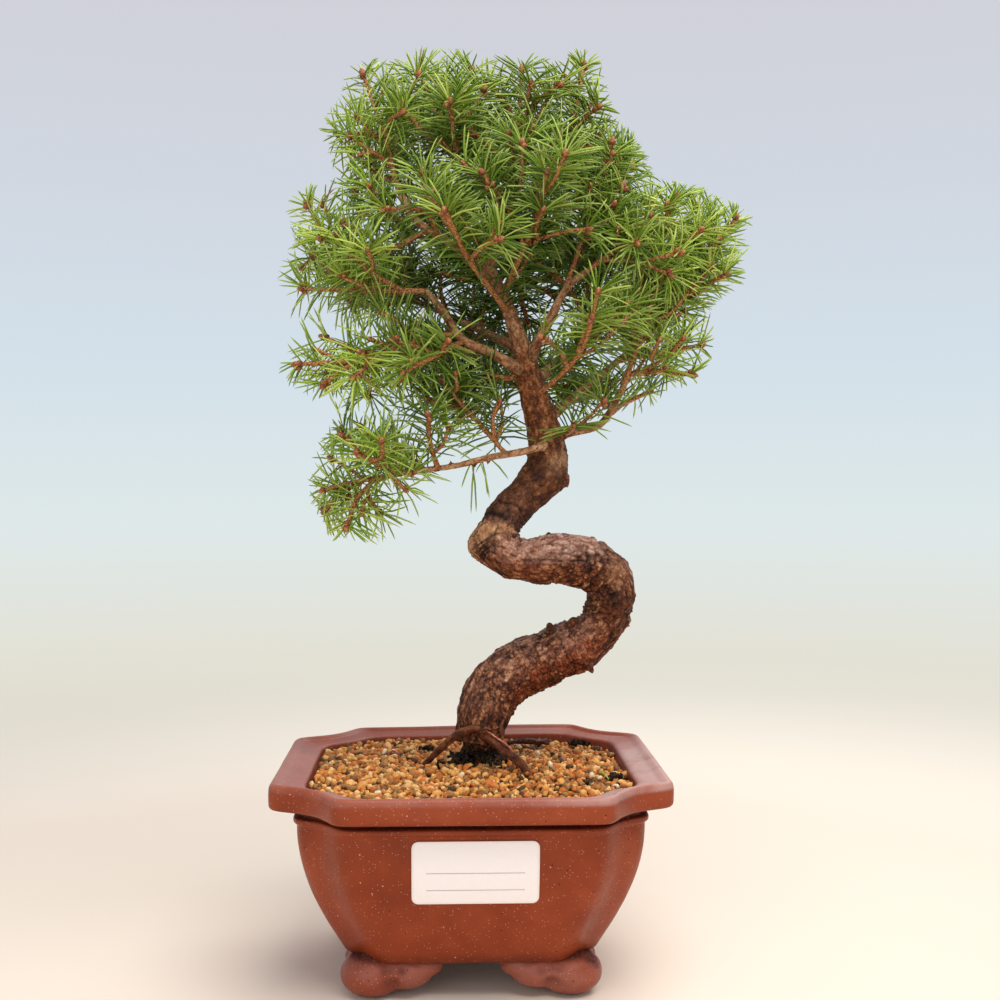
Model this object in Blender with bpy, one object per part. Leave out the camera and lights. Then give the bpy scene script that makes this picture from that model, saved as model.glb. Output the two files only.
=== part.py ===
"""A small spruce bonsai in its square footed pot. Lengths are in millimetres until a mesh is made."""

import math
import random

import bpy
import numpy as np
from mathutils import Vector
from mathutils.bvhtree import BVHTree
from mathutils.geometry import delaunay_2d_cdt

MM = 0.001
SEATED_GAP = 0.3
SEAT_STEP = 0.05
SEED = 7

# Pot: a square with concave corners, heights above the surface that it stands on
RIM_HALF = 80.0
RIM_TOP = 87.0
RIM_BAND_BOTTOM = 77.6
RIM_WIDTH = 14.0
RIM_STRAIGHT_HALF = 52.3
RIM_NARROWING = math.tan(math.pi / 8)
BODY_TOP = 75.8
BODY_TOP_HALF = 69.8
BODY_BOTTOM = 15.0
BODY_BOTTOM_HALF = 51.4
NOTCH_TOP = 18.6
NOTCH_BOTTOM = 15.5
NOTCH_SAG_SHARE = 0.13
NOTCH_BENDS = 4
NOTCH_END_SHARE = 0.22
CAVITY_HALF = 64.0
CAVITY_FLOOR = 22.0
CAVITY_FLOOR_HALF = 44.0
CAVITY_MOUTH = 82.6
WALL_HEIGHTS = (RIM_BAND_BOTTOM, 52.0, 33.0)
DRAIN_RADIUS = 10.0
# Outside of the body from the bottom up to the groove under the rim: height, and how far it stands out
BODY_PROFILE = [
    (BODY_BOTTOM, -2.0),
    (BODY_BOTTOM + 1.2, 0.0),
    (29.0, 0.0),
    (43.0, 0.0),
    (58.0, 0.0),
    (BODY_TOP - 3.2, 0.0),
    (BODY_TOP - 2.0, 1.0),
    (BODY_TOP, 1.0),
    (BODY_TOP + 0.5, -0.8),
    (RIM_BAND_BOTTOM, -0.8),
]
# Rim from the groove up and over its rounded lip into the mouth: height, and how far it stands in
RIM_PROFILE = [
    (RIM_BAND_BOTTOM, 2.2),
    (RIM_BAND_BOTTOM + 1.6, 0.4),
    (RIM_TOP - 3.0, 0.0),
    (RIM_TOP - 0.8, 0.7),
    (RIM_TOP, 2.2),
    (RIM_TOP - 1.0, 4.6),
    (RIM_TOP - 2.6, RIM_WIDTH - 1.4),
    (CAVITY_MOUTH, RIM_WIDTH),
]

# Feet: one large lobe under each corner, with a smaller lobe along each side of it
FOOT_CENTRE = 42.0
FOOT_RADIUS = 11.5
FOOT_HALF_HEIGHT = 10.6
LOBE_LEVELS = 5
LOBE_SIDES = 8
LOBE_FULLNESS = 0.75
FOOT_MIDDLE = FOOT_HALF_HEIGHT * math.cos(math.pi / LOBE_LEVELS)
WING_CENTRE = (26.5, 43.0, 9.2)
WING_RADII = (14.5, 10.0, 8.4)

# Soil and what lies in it
SOIL_TOP = 83.2
GRAIN_PITCH = 5.5
GRAIN_HEIGHT = 2.1
GRAIN_SHIFT = 0.5
SOIL_MOUND = 1.2
SOIL_INSET = 0.45
SCREEN_SIZE = 30.0
SCREEN_THICK = 0.8
SCREEN_OPENING = 6.4
SCREEN_BAR = 2.0
LABEL_WIDTH = 50.0
LABEL_LOW = 42.3
LABEL_HIGH = 67.6
LABEL_THICK = 0.5
LABEL_CENTRE_X = 0.9
LABEL_BENDS = 5
# Thin copper pins: spacing of their bends, and the points that they run through
PIN_RADIUS = 0.6
PIN_SIDES = 5
PINS = {
    "root_pin": (5.5, [
        (2, -6.5, 76), (4, -12.5, 92), (7.5, -14.6, 99), (13, -16.6, 96.4),
        (19, -18.6, 92.2), (21.5, -20.2, 87), (22, -21, 77),
    ]),
    "soil_pin": (2.8, [
        (-36.0, 20, 76), (-36.0, 20, 83.5), (-34.6, 20, 86.2),
        (-32.4, 20, 86.2), (-31.0, 20, 83.5), (-31.0, 20, 76),
    ]),
}

# Trunk: points that its centre runs through, and its radius at each
TRUNK = [
    (4.0, 5.0, 93.0, 9.5),
    (5.5, 5.0, 104.0, 11.4),
    (9.8, 8.0, 113.5, 12.2),
    (16.5, 10.0, 120.5, 12.6),
    (26.0, 12.0, 126.0, 12.4),
    (37.0, 12.0, 130.0, 12.0),
    (48.0, 11.0, 134.5, 11.4),
    (56.5, 9.0, 141.5, 10.4),
    (61.0, 7.0, 151.0, 10.2),
    (61.3, 4.0, 160.5, 10.6),
    (56.5, 0.0, 168.5, 10.8),
    (48.0, -5.0, 172.3, 11.0),
    (38.0, -9.0, 173.5, 10.6),
    (27.5, -11.0, 172.8, 10.0),
    (17.5, -11.0, 174.6, 8.8),
    (11.5, -8.0, 181.0, 8.4),
    (14.5, -3.5, 190.0, 8.6),
    (21.5, 1.0, 197.8, 8.4),
    (29.0, 4.0, 205.5, 8.8),
    (33.6, 5.0, 213.5, 8.6),
    (34.0, 5.0, 222.0, 8.2),
    (31.5, 4.0, 231.0, 7.2),
    (28.5, 3.0, 241.0, 6.4),
    (25.5, 2.0, 252.0, 5.6),
    (23.0, 1.0, 262.0, 4.2),
    (19.5, 0.5, 272.5, 3.4),
    (15.5, 0.0, 283.0, 2.9),
    (12.0, 0.0, 291.0, 2.7),
    (9.0, 0.0, 298.0, 2.5),
    (12.5, 0.0, 313.0, 2.3),
    (17.0, 0.0, 330.0, 2.0),
    (20.0, -1.0, 350.0, 1.6),
]
TRUNK_SIDES = 9
TRUNK_STEP = 8.0
TRUNK_LUMPS = 0.05
# Old branch stubs and knots on the trunk: place, how far they stand out, and how wide they are
KNOTS = [
    ((40.0, -2.0, 145.0), 3.4, 6.0),
    ((56.0, -2.0, 128.0), 3.6, 6.5),
    ((28.0, -14.0, 184.0), 2.4, 6.0),
    ((38.0, 0.0, 206.0), 3.0, 6.0),
    ((66.0, -4.0, 158.0), 2.0, 8.0),
]

# Roots above the soil, then into it
ROOTS = [
    (4.4, 2.4, [(8, -1, 101), (1, -7, 101.5), (-6, -7, 98.5), (-14, -1, 90), (-20, 7, 82), (-27, 15, 72)]),
    (5.0, 2.8, [(4, -1, 100), (9, -9, 96.5), (15, -12, 92), (22, -15, 86.5), (26, -17, 79), (29, -20, 66)]),
    (5.4, 3.0, [(4, 8, 98), (-1, 16, 92), (-7, 24, 84), (-12, 30, 72)]),
    (5.6, 3.0, [(7, 7, 99), (14, 16, 92), (21, 23, 84), (26, 30, 70)]),
    (6.4, 3.2, [(5, 5, 98), (5, 6, 88), (4, 8, 76), (2, 10, 60)]),
]
ROOT_SIDES = 6
ROOT_STEP = 7.5

# Woody branches: radius at the trunk, radius at the end, and the points they run through
BRANCHES = {
    "low_left": (
        2.7, 1.4,
        [(31, 3, 223), (22, -2, 218), (8, -7, 216), (-7, -11, 213), (-22, -13, 212), (-37, -15, 208)],
    ),
    "mid_left": (
        3.0, 1.6, [(24, 1, 254), (9, -8, 261), (-4, -13, 267), (-12, -16, 278), (-19, -18, 286)],
    ),
    "top_left": (2.2, 1.4, [(9, 0, 296), (-8, -4, 308), (-24, -8, 318), (-32, -8, 334)]),
    "leader_right": (1.9, 1.3, [(13, 0, 316), (26, 4, 330), (36, 6, 342)]),
    "right_low": (2.6, 1.5, [(33, 5, 225), (44, 4, 228), (56, 2, 231), (63, 0, 241), (69, -1, 253)]),
    "right_long": (2.7, 1.5, [(31, 5, 231), (46, 12, 244), (62, 14, 257), (79, 13, 272)]),
    "right_front": (2.4, 1.4, [(25, 1, 258), (32, -5, 272), (41, -11, 289), (50, -15, 296)]),
    "back_low": (2.5, 1.5, [(32, 5, 232), (34, 22, 239), (29, 36, 247)]),
    "back_left": (2.4, 1.4, [(22, 1, 264), (8, 16, 272), (-8, 27, 281)]),
    "back_right": (2.5, 1.5, [(27, 3, 250), (42, 20, 262), (56, 32, 275)]),
    "back_mid": (2.2, 1.4, [(17, 0, 279), (16, 18, 289), (19, 32, 298)]),
}
BRANCH_SIDES = 5
BRANCH_STEP = 14.0

# Leafy shoots: what they grow from, the points that the main shoot runs through, and its side shoots,
# each as how far up the main shoot it starts and where it ends
SPRAYS = {
    "low_left_end": (
        "low_left", [(-37, -15, 208), (-50, -17, 207), (-65, -17, 206)],
        [(0.15, (-48, -29, 193)), (0.35, (-64, -3, 196))],
    ),
    "low_left_front": (
        "low_left", [(-30, -14, 210), (-38, -27, 213), (-46, -40, 218)],
        [(0.3, (-27, -37, 203))],
    ),
    "low_left_top": ("low_left", [(-28, -13, 211), (-41, -5, 218), (-55, 0, 227)], []),
    "low_left_mid": ("low_left", [(-14, -12, 213), (-17, -20, 222), (-18, -28, 233)], []),
    "low_left_rise": (
        "low_left", [(15, -5, 218), (7, -2, 228), (-2, 3, 237), (-18, 8, 242)],
        [(0.45, (-12, -12, 249)), (0.2, (12, -12, 240))],
    ),
    "low_left_back": ("low_left", [(-15, -12, 213), (-27, 2, 211), (-41, 12, 208)], []),
    "mid_left_end": (
        "mid_left", [(-19, -18, 286), (-38, -18, 286), (-64, -15, 286)],
        [(0.2, (-49, -36, 299)), (0.45, (-52, -2, 279))],
    ),
    "mid_left_low": (
        "mid_left", [(-6, -14, 269), (-17, -19, 267), (-30, -24, 264), (-48, -29, 260), (-65, -32, 261)],
        [(0.45, (-49, -44, 250)), (0.55, (-58, -16, 270))],
    ),
    "mid_left_under": (
        "mid_left", [(-3, -12, 266), (-13, -28, 259), (-27, -44, 250)],
        [(0.4, (-10, -46, 262))],
    ),
    "thin_left": ("trunk", [(21, 1, 251), (4, 4, 251), (-14, 8, 249)], [(0.5, (-6, 20, 240))]),
    "far_left": (
        "top_left", [(-18, -7, 314), (-34, -8, 305), (-50, -8, 303), (-60, -9, 310), (-67, -9, 321)],
        [(0.62, (-72, 3, 299)), (0.55, (-62, -26, 306))],
    ),
    "left_out": ("top_left", [(-24, -8, 318), (-37, -1, 319), (-53, 2, 323)], [(0.35, (-42, -22, 328))]),
    "top_left_end": (
        "top_left", [(-32, -8, 334), (-35, -6, 350), (-43, -4, 375)],
        [(0.15, (-49, -16, 343)), (0.35, (-57, 6, 357)), (0.4, (-29, -26, 358))],
    ),
    "top_left_front": (
        "top_left", [(-14, -6, 311), (-18, -24, 320), (-20, -40, 330)],
        [(0.4, (-35, -36, 316))],
    ),
    "leader_left": (
        "trunk", [(15, 0, 322), (4, -5, 334), (-8, -8, 346), (-15, -8, 362), (-22, -6, 381)],
        [(0.55, (-2, -2, 378)), (0.4, (-9, -31, 361)), (0.45, (-30, 10, 365))],
    ),
    "leader_end": (
        "trunk", [(20, -1, 350), (21, -2, 366), (22, -3, 383)],
        [(0.25, (8, 2, 378)), (0.3, (37, -12, 374))],
    ),
    "leader_front": ("trunk", [(16, 0, 328), (22, -16, 337), (25, -32, 350)], [(0.3, (1, -18, 352))]),
    "front_left": (
        "trunk", [(17, 0, 279), (8, -18, 287), (-2, -38, 297), (-11, -60, 311)],
        [(0.55, (-18, -50, 321)), (0.6, (10, -62, 300))],
    ),
    "front_mid": (
        "trunk", [(14, 0, 287), (20, -18, 300), (26, -36, 314), (29, -52, 328)],
        [(0.45, (4, -46, 329)), (0.45, (46, -42, 308))],
    ),
    "front_right": (
        "trunk", [(28, 3, 243), (38, -16, 252), (45, -32, 261), (47, -52, 271)],
        [(0.45, (62, -38, 278)), (0.45, (28, -44, 264))],
    ),
    "right_front_end": (
        "right_front", [(50, -15, 296), (60, -18, 304), (73, -28, 316)],
        [(0.2, (82, -24, 293)), (0.35, (66, -44, 302))],
    ),
    "right_front_up": (
        "right_front", [(40, -10, 287), (46, -14, 306), (51, -20, 325), (57, -32, 345)],
        [(0.45, (36, -34, 339)), (0.5, (67, -17, 339))],
    ),
    "leader_right_end": (
        "leader_right", [(36, 6, 342), (44, 5, 360), (48, 3, 384)],
        [(0.3, (57, -8, 368)), (0.35, (64, 12, 361))],
    ),
    "leader_right_low": (
        "leader_right", [(24, 3, 328), (44, 4, 336), (58, 0, 343), (72, -5, 351)],
        [(0.5, (60, 18, 344))],
    ),
    "right_low_end": (
        "right_low", [(69, -1, 253), (82, -5, 256), (97, -8, 257)],
        [(0.2, (88, -22, 266))],
    ),
    "right_low_up": (
        "right_low", [(65, -1, 245), (71, -5, 263), (75, -10, 277), (80, -14, 291)],
        [(0.4, (91, -2, 275))],
    ),
    "right_low_tuft": ("right_low", [(48, 3, 229), (47, -8, 232), (45, -18, 237)], []),
    "right_low_back": ("right_low", [(59, 1, 235), (68, 14, 241), (81, 23, 247)], []),
    "right_long_end": (
        "right_long", [(79, 13, 272), (93, 9, 286), (104, 4, 302), (114, -4, 320)],
        [(0.2, (105, -12, 293)), (0.5, (100, 8, 327))],
    ),
    "right_long_low": (
        "right_long", [(66, 14, 260), (84, 14, 264), (102, 12, 267)],
        [(0.35, (90, 30, 258))],
    ),
    "right_long_up": (
        "right_long", [(70, 13, 264), (78, 9, 284), (82, 2, 304), (88, -8, 328)],
        [(0.5, (95, -25, 311)), (0.5, (80, 20, 330))],
    ),
    "back_low_end": (
        "back_low", [(29, 36, 247), (22, 52, 252), (12, 70, 258)],
        [(0.3, (36, 70, 262))],
    ),
    "back_low_right": ("back_low", [(34, 21, 238), (48, 36, 243), (60, 54, 250)], []),
    "back_left_end": (
        "back_left", [(-8, 27, 281), (-24, 34, 288), (-38, 40, 294), (-52, 44, 304)],
        [(0.4, (-42, 60, 290)), (0.55, (-58, 27, 297))],
    ),
    "back_left_low": (
        "back_left", [(6, 17, 273), (-6, 36, 268), (-14, 54, 272)],
        [(0.35, (-26, 28, 262))],
    ),
    "back_right_end": (
        "back_right", [(56, 32, 275), (70, 40, 284), (84, 46, 294), (98, 48, 304)],
        [(0.4, (82, 66, 290)), (0.5, (94, 30, 313))],
    ),
    "back_right_up": (
        "back_right", [(50, 27, 270), (58, 34, 292), (62, 38, 312), (66, 40, 330)],
        [(0.45, (76, 54, 318)), (0.45, (47, 52, 314))],
    ),
    "back_mid_end": (
        "back_mid", [(19, 32, 298), (22, 46, 308), (28, 60, 318), (34, 74, 328)],
        [(0.3, (6, 66, 311)), (0.4, (52, 66, 308)), (0.45, (16, 62, 334))],
    ),
    "back_mid_left": (
        "back_mid", [(16, 18, 289), (4, 34, 304), (-8, 46, 318), (-18, 54, 332)],
        [(0.45, (-30, 38, 322))],
    ),
    "back_top": (
        "trunk", [(17, 0, 333), (12, 16, 343), (8, 30, 354), (6, 42, 370)],
        [(0.45, (-12, 34, 362)), (0.45, (28, 38, 364))],
    ),
    "back_top_left": (
        "top_left", [(-29, -8, 328), (-32, 8, 337), (-34, 20, 345), (-38, 32, 356)],
        [(0.4, (-51, 22, 336))],
    ),
    "back_top_right": (
        "leader_right", [(32, 5, 337), (40, 20, 345), (45, 34, 353), (50, 44, 367)],
        [(0.4, (62, 42, 346))],
    ),
    "back_under": (
        "mid_left", [(4, -10, 263), (-10, 4, 261), (-25, 15, 262), (-40, 22, 267)],
        [(0.45, (-32, 30, 251))],
    ),
}
STEM_STEP = 4.0
SHOOT_RADIUS = 1.05
SHOOT_TIP_RADIUS = 0.85
SHOOT_CLEARANCE = 3.4
NEEDLE_LENGTH = 13.6
NEEDLE_ROOT_RADIUS = 1.0
# Where a needle's way is blocked, it is turned by one of these, in degrees: round the stem, and out from it
NEEDLE_TURNS = (
    (0, 0), (0, -10), (0, 10), (14, 0), (-14, 0), (14, -12), (-14, -12), (20, 12), (-20, 12), (0, -18),
)
WHORL_PITCH = 14.2
WHORL_WIDTH = 1.5
CLOSED_UP = 0.1
# How far the needles lean out, in degrees: at each distance back from the tip, then further down
TIP_LEANS = ((1.7, 31), (3.2, 50))
WHORL_LEAN = 58
BARE_MAIN = 4.0
BARE_SIDE = 5.5
SIDE_SINK = 1.0
BUD_RADIUS = 1.5
BUD_LENGTH = 3.6

COLOURS = {
    "terracotta": (0.27, 0.065, 0.033, 1.0),
    "grit": (0.42, 0.19, 0.06, 1.0),
    "bark": (0.17, 0.075, 0.04, 1.0),
    "needles": (0.075, 0.19, 0.025, 1.0),
    "paper": (0.86, 0.85, 0.86, 1.0),
    "copper": (0.55, 0.2, 0.13, 1.0),
    "black mesh": (0.015, 0.015, 0.015, 1.0),
}
ROUGHNESS = {
    "terracotta": 0.5,
    "grit": 0.85,
    "bark": 0.9,
    "needles": 0.5,
    "paper": 0.55,
    "copper": 0.35,
    "black mesh": 0.5,
}


def clear_scene():
    for thing in list(bpy.data.objects):
        bpy.data.objects.remove(thing, do_unlink=True)


def material(name):
    made = bpy.data.materials.get(name) or bpy.data.materials.new(name)
    made.use_nodes = True
    shader = made.node_tree.nodes["Principled BSDF"]
    shader.inputs["Base Color"].default_value = COLOURS[name]
    shader.inputs["Roughness"].default_value = ROUGHNESS[name]
    shader.inputs["Metallic"].default_value = 1.0 if name == "copper" else 0.0
    return made


def add_object(name, points, faces, finish):
    """A mesh object from points in millimetres."""
    mesh = bpy.data.meshes.new(name)
    mesh.from_pydata([Vector(p) * MM for p in points], [], faces)
    mesh.materials.append(material(finish))
    made = bpy.data.objects.new(name, mesh)
    bpy.context.scene.collection.objects.link(made)
    return made


def shade_round(thing, angle=40):
    thing.data.shade_smooth()
    thing.data.set_sharp_from_angle(angle=math.radians(angle))


def boolean(target, others, operation, solver="EXACT"):
    """Joins or cuts target with the other objects in one applied Boolean, then removes them."""
    group = bpy.data.collections.new("operands")
    for other in others:
        bpy.context.scene.collection.objects.unlink(other)
        group.objects.link(other)
    bpy.context.scene.collection.children.link(group)
    modifier = target.modifiers.new("join", "BOOLEAN")
    modifier.operand_type = "COLLECTION"
    modifier.collection = group
    modifier.operation = operation
    modifier.solver = solver
    graph = bpy.context.evaluated_depsgraph_get()
    joined = bpy.data.meshes.new_from_object(target.evaluated_get(graph))
    target.modifiers.clear()
    target.data = joined
    for other in others:
        bpy.data.objects.remove(other, do_unlink=True)
    bpy.data.collections.remove(group)


def smooth_path(points, step):
    """Evenly spaced points along a Catmull-Rom curve through the given points (any number of columns)."""
    points = np.array(points, float)
    padded = np.vstack([2 * points[0] - points[1], points, 2 * points[-1] - points[-2]])
    dense = []
    for i in range(1, len(padded) - 2):
        a, b, c, d = padded[i - 1 : i + 3]
        for t in np.linspace(0, 1, 12, endpoint=False):
            curved = (2 * a - 5 * b + 4 * c - d) * t**2 + (3 * b - a - 3 * c + d) * t**3
            dense.append(0.5 * (2 * b + (c - a) * t + curved))
    dense.append(points[-1])
    dense = np.array(dense)
    along = np.concatenate([[0], np.cumsum(np.linalg.norm(np.diff(dense[:, :3], axis=0), axis=1))])
    count = max(2, round(along[-1] / step) + 1)
    wanted = np.linspace(0, along[-1], count)
    return np.stack([np.interp(wanted, along, column) for column in dense.T], axis=1)


def frames(path):
    """Axis, side and up directions along a path, turned as little as possible from point to point."""
    axis = np.gradient(path, axis=0)
    axis /= np.linalg.norm(axis, axis=1)[:, None]
    side = np.cross(axis[0], (0.3, 1.0, 0.2))
    sides = []
    for direction in axis:
        side = side - direction * (side @ direction)
        side /= np.linalg.norm(side)
        sides.append(side)
    sides = np.array(sides)
    return axis, sides, np.cross(axis, sides)


def skin(rings):
    """Closed triangles over rings that have the same number of points."""
    count = len(rings[0])
    points = [tuple(p) for ring in rings for p in ring]
    faces = []
    for i in range(len(rings) - 1):
        low, high = i * count, (i + 1) * count
        for j in range(count):
            k = (j + 1) % count
            faces.append((low + j, low + k, high + k))
            faces.append((low + j, high + k, high + j))
    faces.append(tuple(range(count - 1, -1, -1)))
    last = (len(rings) - 1) * count
    faces.append(tuple(range(last, last + count)))
    return points, faces


def tube(path, radii, sides, wobble=None):
    axis, side, up = frames(path)
    rings = []
    for i, centre in enumerate(path):
        ring = []
        for j in range(sides):
            angle = 2 * math.pi * j / sides
            outward = math.cos(angle) * side[i] + math.sin(angle) * up[i]
            radius = radii[i] * (wobble(i, angle, centre + outward * radii[i]) if wobble else 1.0)
            ring.append(centre + outward * radius)
        rings.append(ring)
    return skin(rings)


def notched_square(half, straight, height):
    """One level of the pot: a square whose corners are cut by a shallow concave curve with softened ends."""
    notch = half - straight
    end = straight - NOTCH_END_SHARE * notch
    corner = [(half, end)]
    for i in range(NOTCH_BENDS):
        t = (i + 0.5) / NOTCH_BENDS
        inward = notch * NOTCH_SAG_SHARE * math.sin(math.pi * t) ** 1.5
        corner.append((half - notch * t - inward, straight + notch * t - inward))
    corner.append((end, half))
    turned = []
    for quarter in range(4):
        c, s = [(1, 0), (0, 1), (-1, 0), (0, -1)][quarter]
        turned += [(c * x - s * y, s * x + c * y, height) for x, y in corner]
    return turned


def body_half(height):
    share = min(1.0, (height - BODY_BOTTOM) / (BODY_TOP - 3.0 - BODY_BOTTOM))
    return BODY_BOTTOM_HALF + (BODY_TOP_HALF - BODY_BOTTOM_HALF) * math.sin(0.5 * math.pi * share)


def body_level(height, out=0.0):
    share = (height - BODY_BOTTOM) / (BODY_TOP - BODY_BOTTOM)
    notch = NOTCH_BOTTOM + (NOTCH_TOP - NOTCH_BOTTOM) * share
    return notched_square(body_half(height) + out, body_half(height) - notch, height)


def inner_half(height):
    share = (height - CAVITY_FLOOR) / (RIM_BAND_BOTTOM - CAVITY_FLOOR)
    return CAVITY_FLOOR_HALF + (CAVITY_HALF - CAVITY_FLOOR_HALF) * math.sin(0.5 * math.pi * min(1.0, share))


def inner_level(height, inset=0.0):
    half = inner_half(height) - inset
    return notched_square(half, half - NOTCH_TOP + 0.4 * inset, height)


def rim_level(height, inset):
    return notched_square(RIM_HALF - inset, RIM_STRAIGHT_HALF - RIM_NARROWING * inset, height)


def drain_ring(height, like):
    return [
        (DRAIN_RADIUS * math.cos(a), DRAIN_RADIUS * math.sin(a), height)
        for a in (math.atan2(y, x) for x, y, _ in like)
    ]


def lobe(centre, radii):
    """A closed rounded lump, flat where it meets the surface at height zero."""
    rings = []
    for i in range(1, LOBE_LEVELS):
        tilt = math.pi * i / LOBE_LEVELS
        ring = []
        for j in range(LOBE_SIDES):
            turn = 2 * math.pi * j / LOBE_SIDES
            x = centre[0] + radii[0] * math.sin(tilt) ** LOBE_FULLNESS * math.cos(turn)
            y = centre[1] + radii[1] * math.sin(tilt) ** LOBE_FULLNESS * math.sin(turn)
            ring.append((x, y, max(0.0, centre[2] - radii[2] * math.cos(tilt))))
        rings.append(ring)
    return skin(rings)


def make_pot():
    outline = body_level(BODY_BOTTOM)
    rings = [drain_ring(BODY_BOTTOM, outline)]
    rings += [body_level(height, out) for height, out in BODY_PROFILE]
    rings += [rim_level(height, inset) for height, inset in RIM_PROFILE]
    rings += [inner_level(height) for height in WALL_HEIGHTS + (CAVITY_FLOOR,)]
    rings += [drain_ring(CAVITY_FLOOR, outline)]
    points, faces = skin(rings)
    # The first and last rings bound the drain hole, so they are joined to each other, not capped
    faces = faces[:-2]
    count, last = len(outline), (len(rings) - 1) * len(outline)
    for j in range(count):
        k = (j + 1) % count
        faces.append((last + j, last + k, k))
        faces.append((last + j, k, j))
    pot = add_object("pot", points, faces, "terracotta")
    feet = []
    for sx, sy in ((1, 1), (-1, 1), (-1, -1), (1, -1)):
        shapes = [((FOOT_CENTRE, FOOT_CENTRE, FOOT_MIDDLE), (FOOT_RADIUS, FOOT_RADIUS, FOOT_HALF_HEIGHT))]
        x, y, z = WING_CENTRE
        a, b, c = WING_RADII
        shapes += [((x, y, z), (a, b, c)), ((y, x, z), (b, a, c))]
        for (px, py, pz), radii in shapes:
            feet.append(add_object("foot", *lobe((sx * px, sy * py, pz), radii), "terracotta"))
    boolean(pot, feet, "UNION")
    shade_round(pot)
    return pot


def make_soil(cutters):
    rng = random.Random(SEED)
    edge = rim_level(CAVITY_MOUTH, RIM_WIDTH + SOIL_INSET)
    flat = [Vector((x, y)) for x, y, _ in edge]
    heights = [z for _, _, z in edge]
    row_pitch = GRAIN_PITCH * math.sqrt(3) / 2
    rows = int(CAVITY_HALF / row_pitch) + 1
    for row in range(-rows, rows + 1):
        for column in range(-rows, rows + 1):
            x = (column + 0.5 * (row % 2)) * GRAIN_PITCH
            y = row * row_pitch
            clear_of_walls = max(abs(x), abs(y)) < CAVITY_HALF - 0.4 * GRAIN_PITCH
            clear_of_corners = abs(x) + abs(y) < 2 * CAVITY_HALF - NOTCH_TOP - 1.2 * GRAIN_PITCH
            if not (clear_of_walls and clear_of_corners):
                continue
            # Every third lattice point is the top of a grain, and the six round it are the dips
            is_top = (column - row // 2 + 2 * row) % 3 == 0
            relief = GRAIN_HEIGHT * (rng.uniform(0.6, 1.1) if is_top else rng.uniform(-0.45, -0.05))
            mound = SOIL_MOUND * math.exp(-((x - 6) ** 2 + (y - 6) ** 2) / 700)
            shift_x = rng.uniform(-GRAIN_SHIFT, GRAIN_SHIFT)
            shift_y = rng.uniform(-GRAIN_SHIFT, GRAIN_SHIFT)
            flat.append(Vector((x + shift_x, y + shift_y)))
            heights.append(SOIL_TOP + mound + relief)
    count = len(edge)
    border = [(i, (i + 1) % count) for i in range(count)]
    points2d, _, faces, origin, _, _ = delaunay_2d_cdt(flat, border, [list(range(count))], 1, 1e-5)
    points = [(p.x, p.y, heights[origin[i][0]]) for i, p in enumerate(points2d)]
    order = {origin[i][0]: i for i in range(len(points))}
    faces = [tuple(face) for face in faces]
    above = [order[i] for i in range(count)]
    levels = [inner_level(h, SOIL_INSET) for h in WALL_HEIGHTS]
    levels.append([(x, y, CAVITY_FLOOR + SEATED_GAP) for x, y, _ in inner_level(CAVITY_FLOOR, SOIL_INSET)])
    for level in levels:
        below = range(len(points), len(points) + count)
        points += level
        for j in range(count):
            k = (j + 1) % count
            faces.append((above[j], below[j], below[k]))
            faces.append((above[j], below[k], above[k]))
        above = list(below)
    faces.append(tuple(reversed(above)))
    soil = add_object("soil", points, faces, "grit")
    half = SCREEN_SIZE / 2 + SEATED_GAP
    top = CAVITY_FLOOR + SCREEN_THICK + 2 * SEATED_GAP
    recess = block((0, 0, top / 2), (half, half, top / 2))
    cutters.append(add_object("recess", *recess, "grit"))
    boolean(soil, cutters, "DIFFERENCE")
    return soil


def block(centre, half):
    signs = [(-1, -1), (1, -1), (1, 1), (-1, 1)]
    rings = [
        [(centre[0] + sx * half[0], centre[1] + sy * half[1], centre[2] + sz * half[2]) for sx, sy in signs]
        for sz in (-1, 1)
    ]
    return skin(rings)


def trunk_mesh():
    rng = random.Random(SEED)
    line = smooth_path(TRUNK, TRUNK_STEP)
    lumps = [[rng.uniform(-1, 1) for _ in range(TRUNK_SIDES)] for _ in line]

    def wobble(i, angle, place):
        swell = 1 + TRUNK_LUMPS * lumps[i][round(angle / (2 * math.pi) * TRUNK_SIDES) % TRUNK_SIDES]
        for knot, out, wide in KNOTS:
            near = np.linalg.norm(place - np.array(knot))
            swell += out / line[i, 3] * math.exp(-((near / wide) ** 2))
        return swell

    return tube(line[:, :3], line[:, 3], TRUNK_SIDES, wobble)


def root_line(root, extra=0.0):
    start, end, points = root
    path = smooth_path(points, ROOT_STEP)
    radii = np.linspace(start, end, len(path)) + extra
    if extra:
        path[-1] += (path[-1] - path[-2]) / np.linalg.norm(path[-1] - path[-2]) * extra
    return path, radii


def branch_line(name):
    start, end, points = BRANCHES[name]
    path = smooth_path(points, BRANCH_STEP)
    return path, np.linspace(start, end, len(path))


def make_tree():
    tree = add_object("tree", *trunk_mesh(), "bark")
    others = [add_object("root", *tube(*root_line(root), ROOT_SIDES), "bark") for root in ROOTS]
    others += [add_object("branch", *tube(*branch_line(name), BRANCH_SIDES), "bark") for name in BRANCHES]
    boolean(tree, others, "UNION")
    shade_round(tree, 60)
    return tree


def carrier_line(name):
    """Centre points and radii of what a spray grows from."""
    if name == "trunk":
        line = smooth_path(TRUNK, STEM_STEP)
        return line[:, :3], line[:, 3]
    return branch_line(name)


class Shoot:
    """A leafy stem: its centre path, the spray that it belongs to, and whether it is a side shoot of it."""

    def __init__(self, path, spray, is_side):
        self.path = path
        self.spray = spray
        self.is_side = is_side


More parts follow.
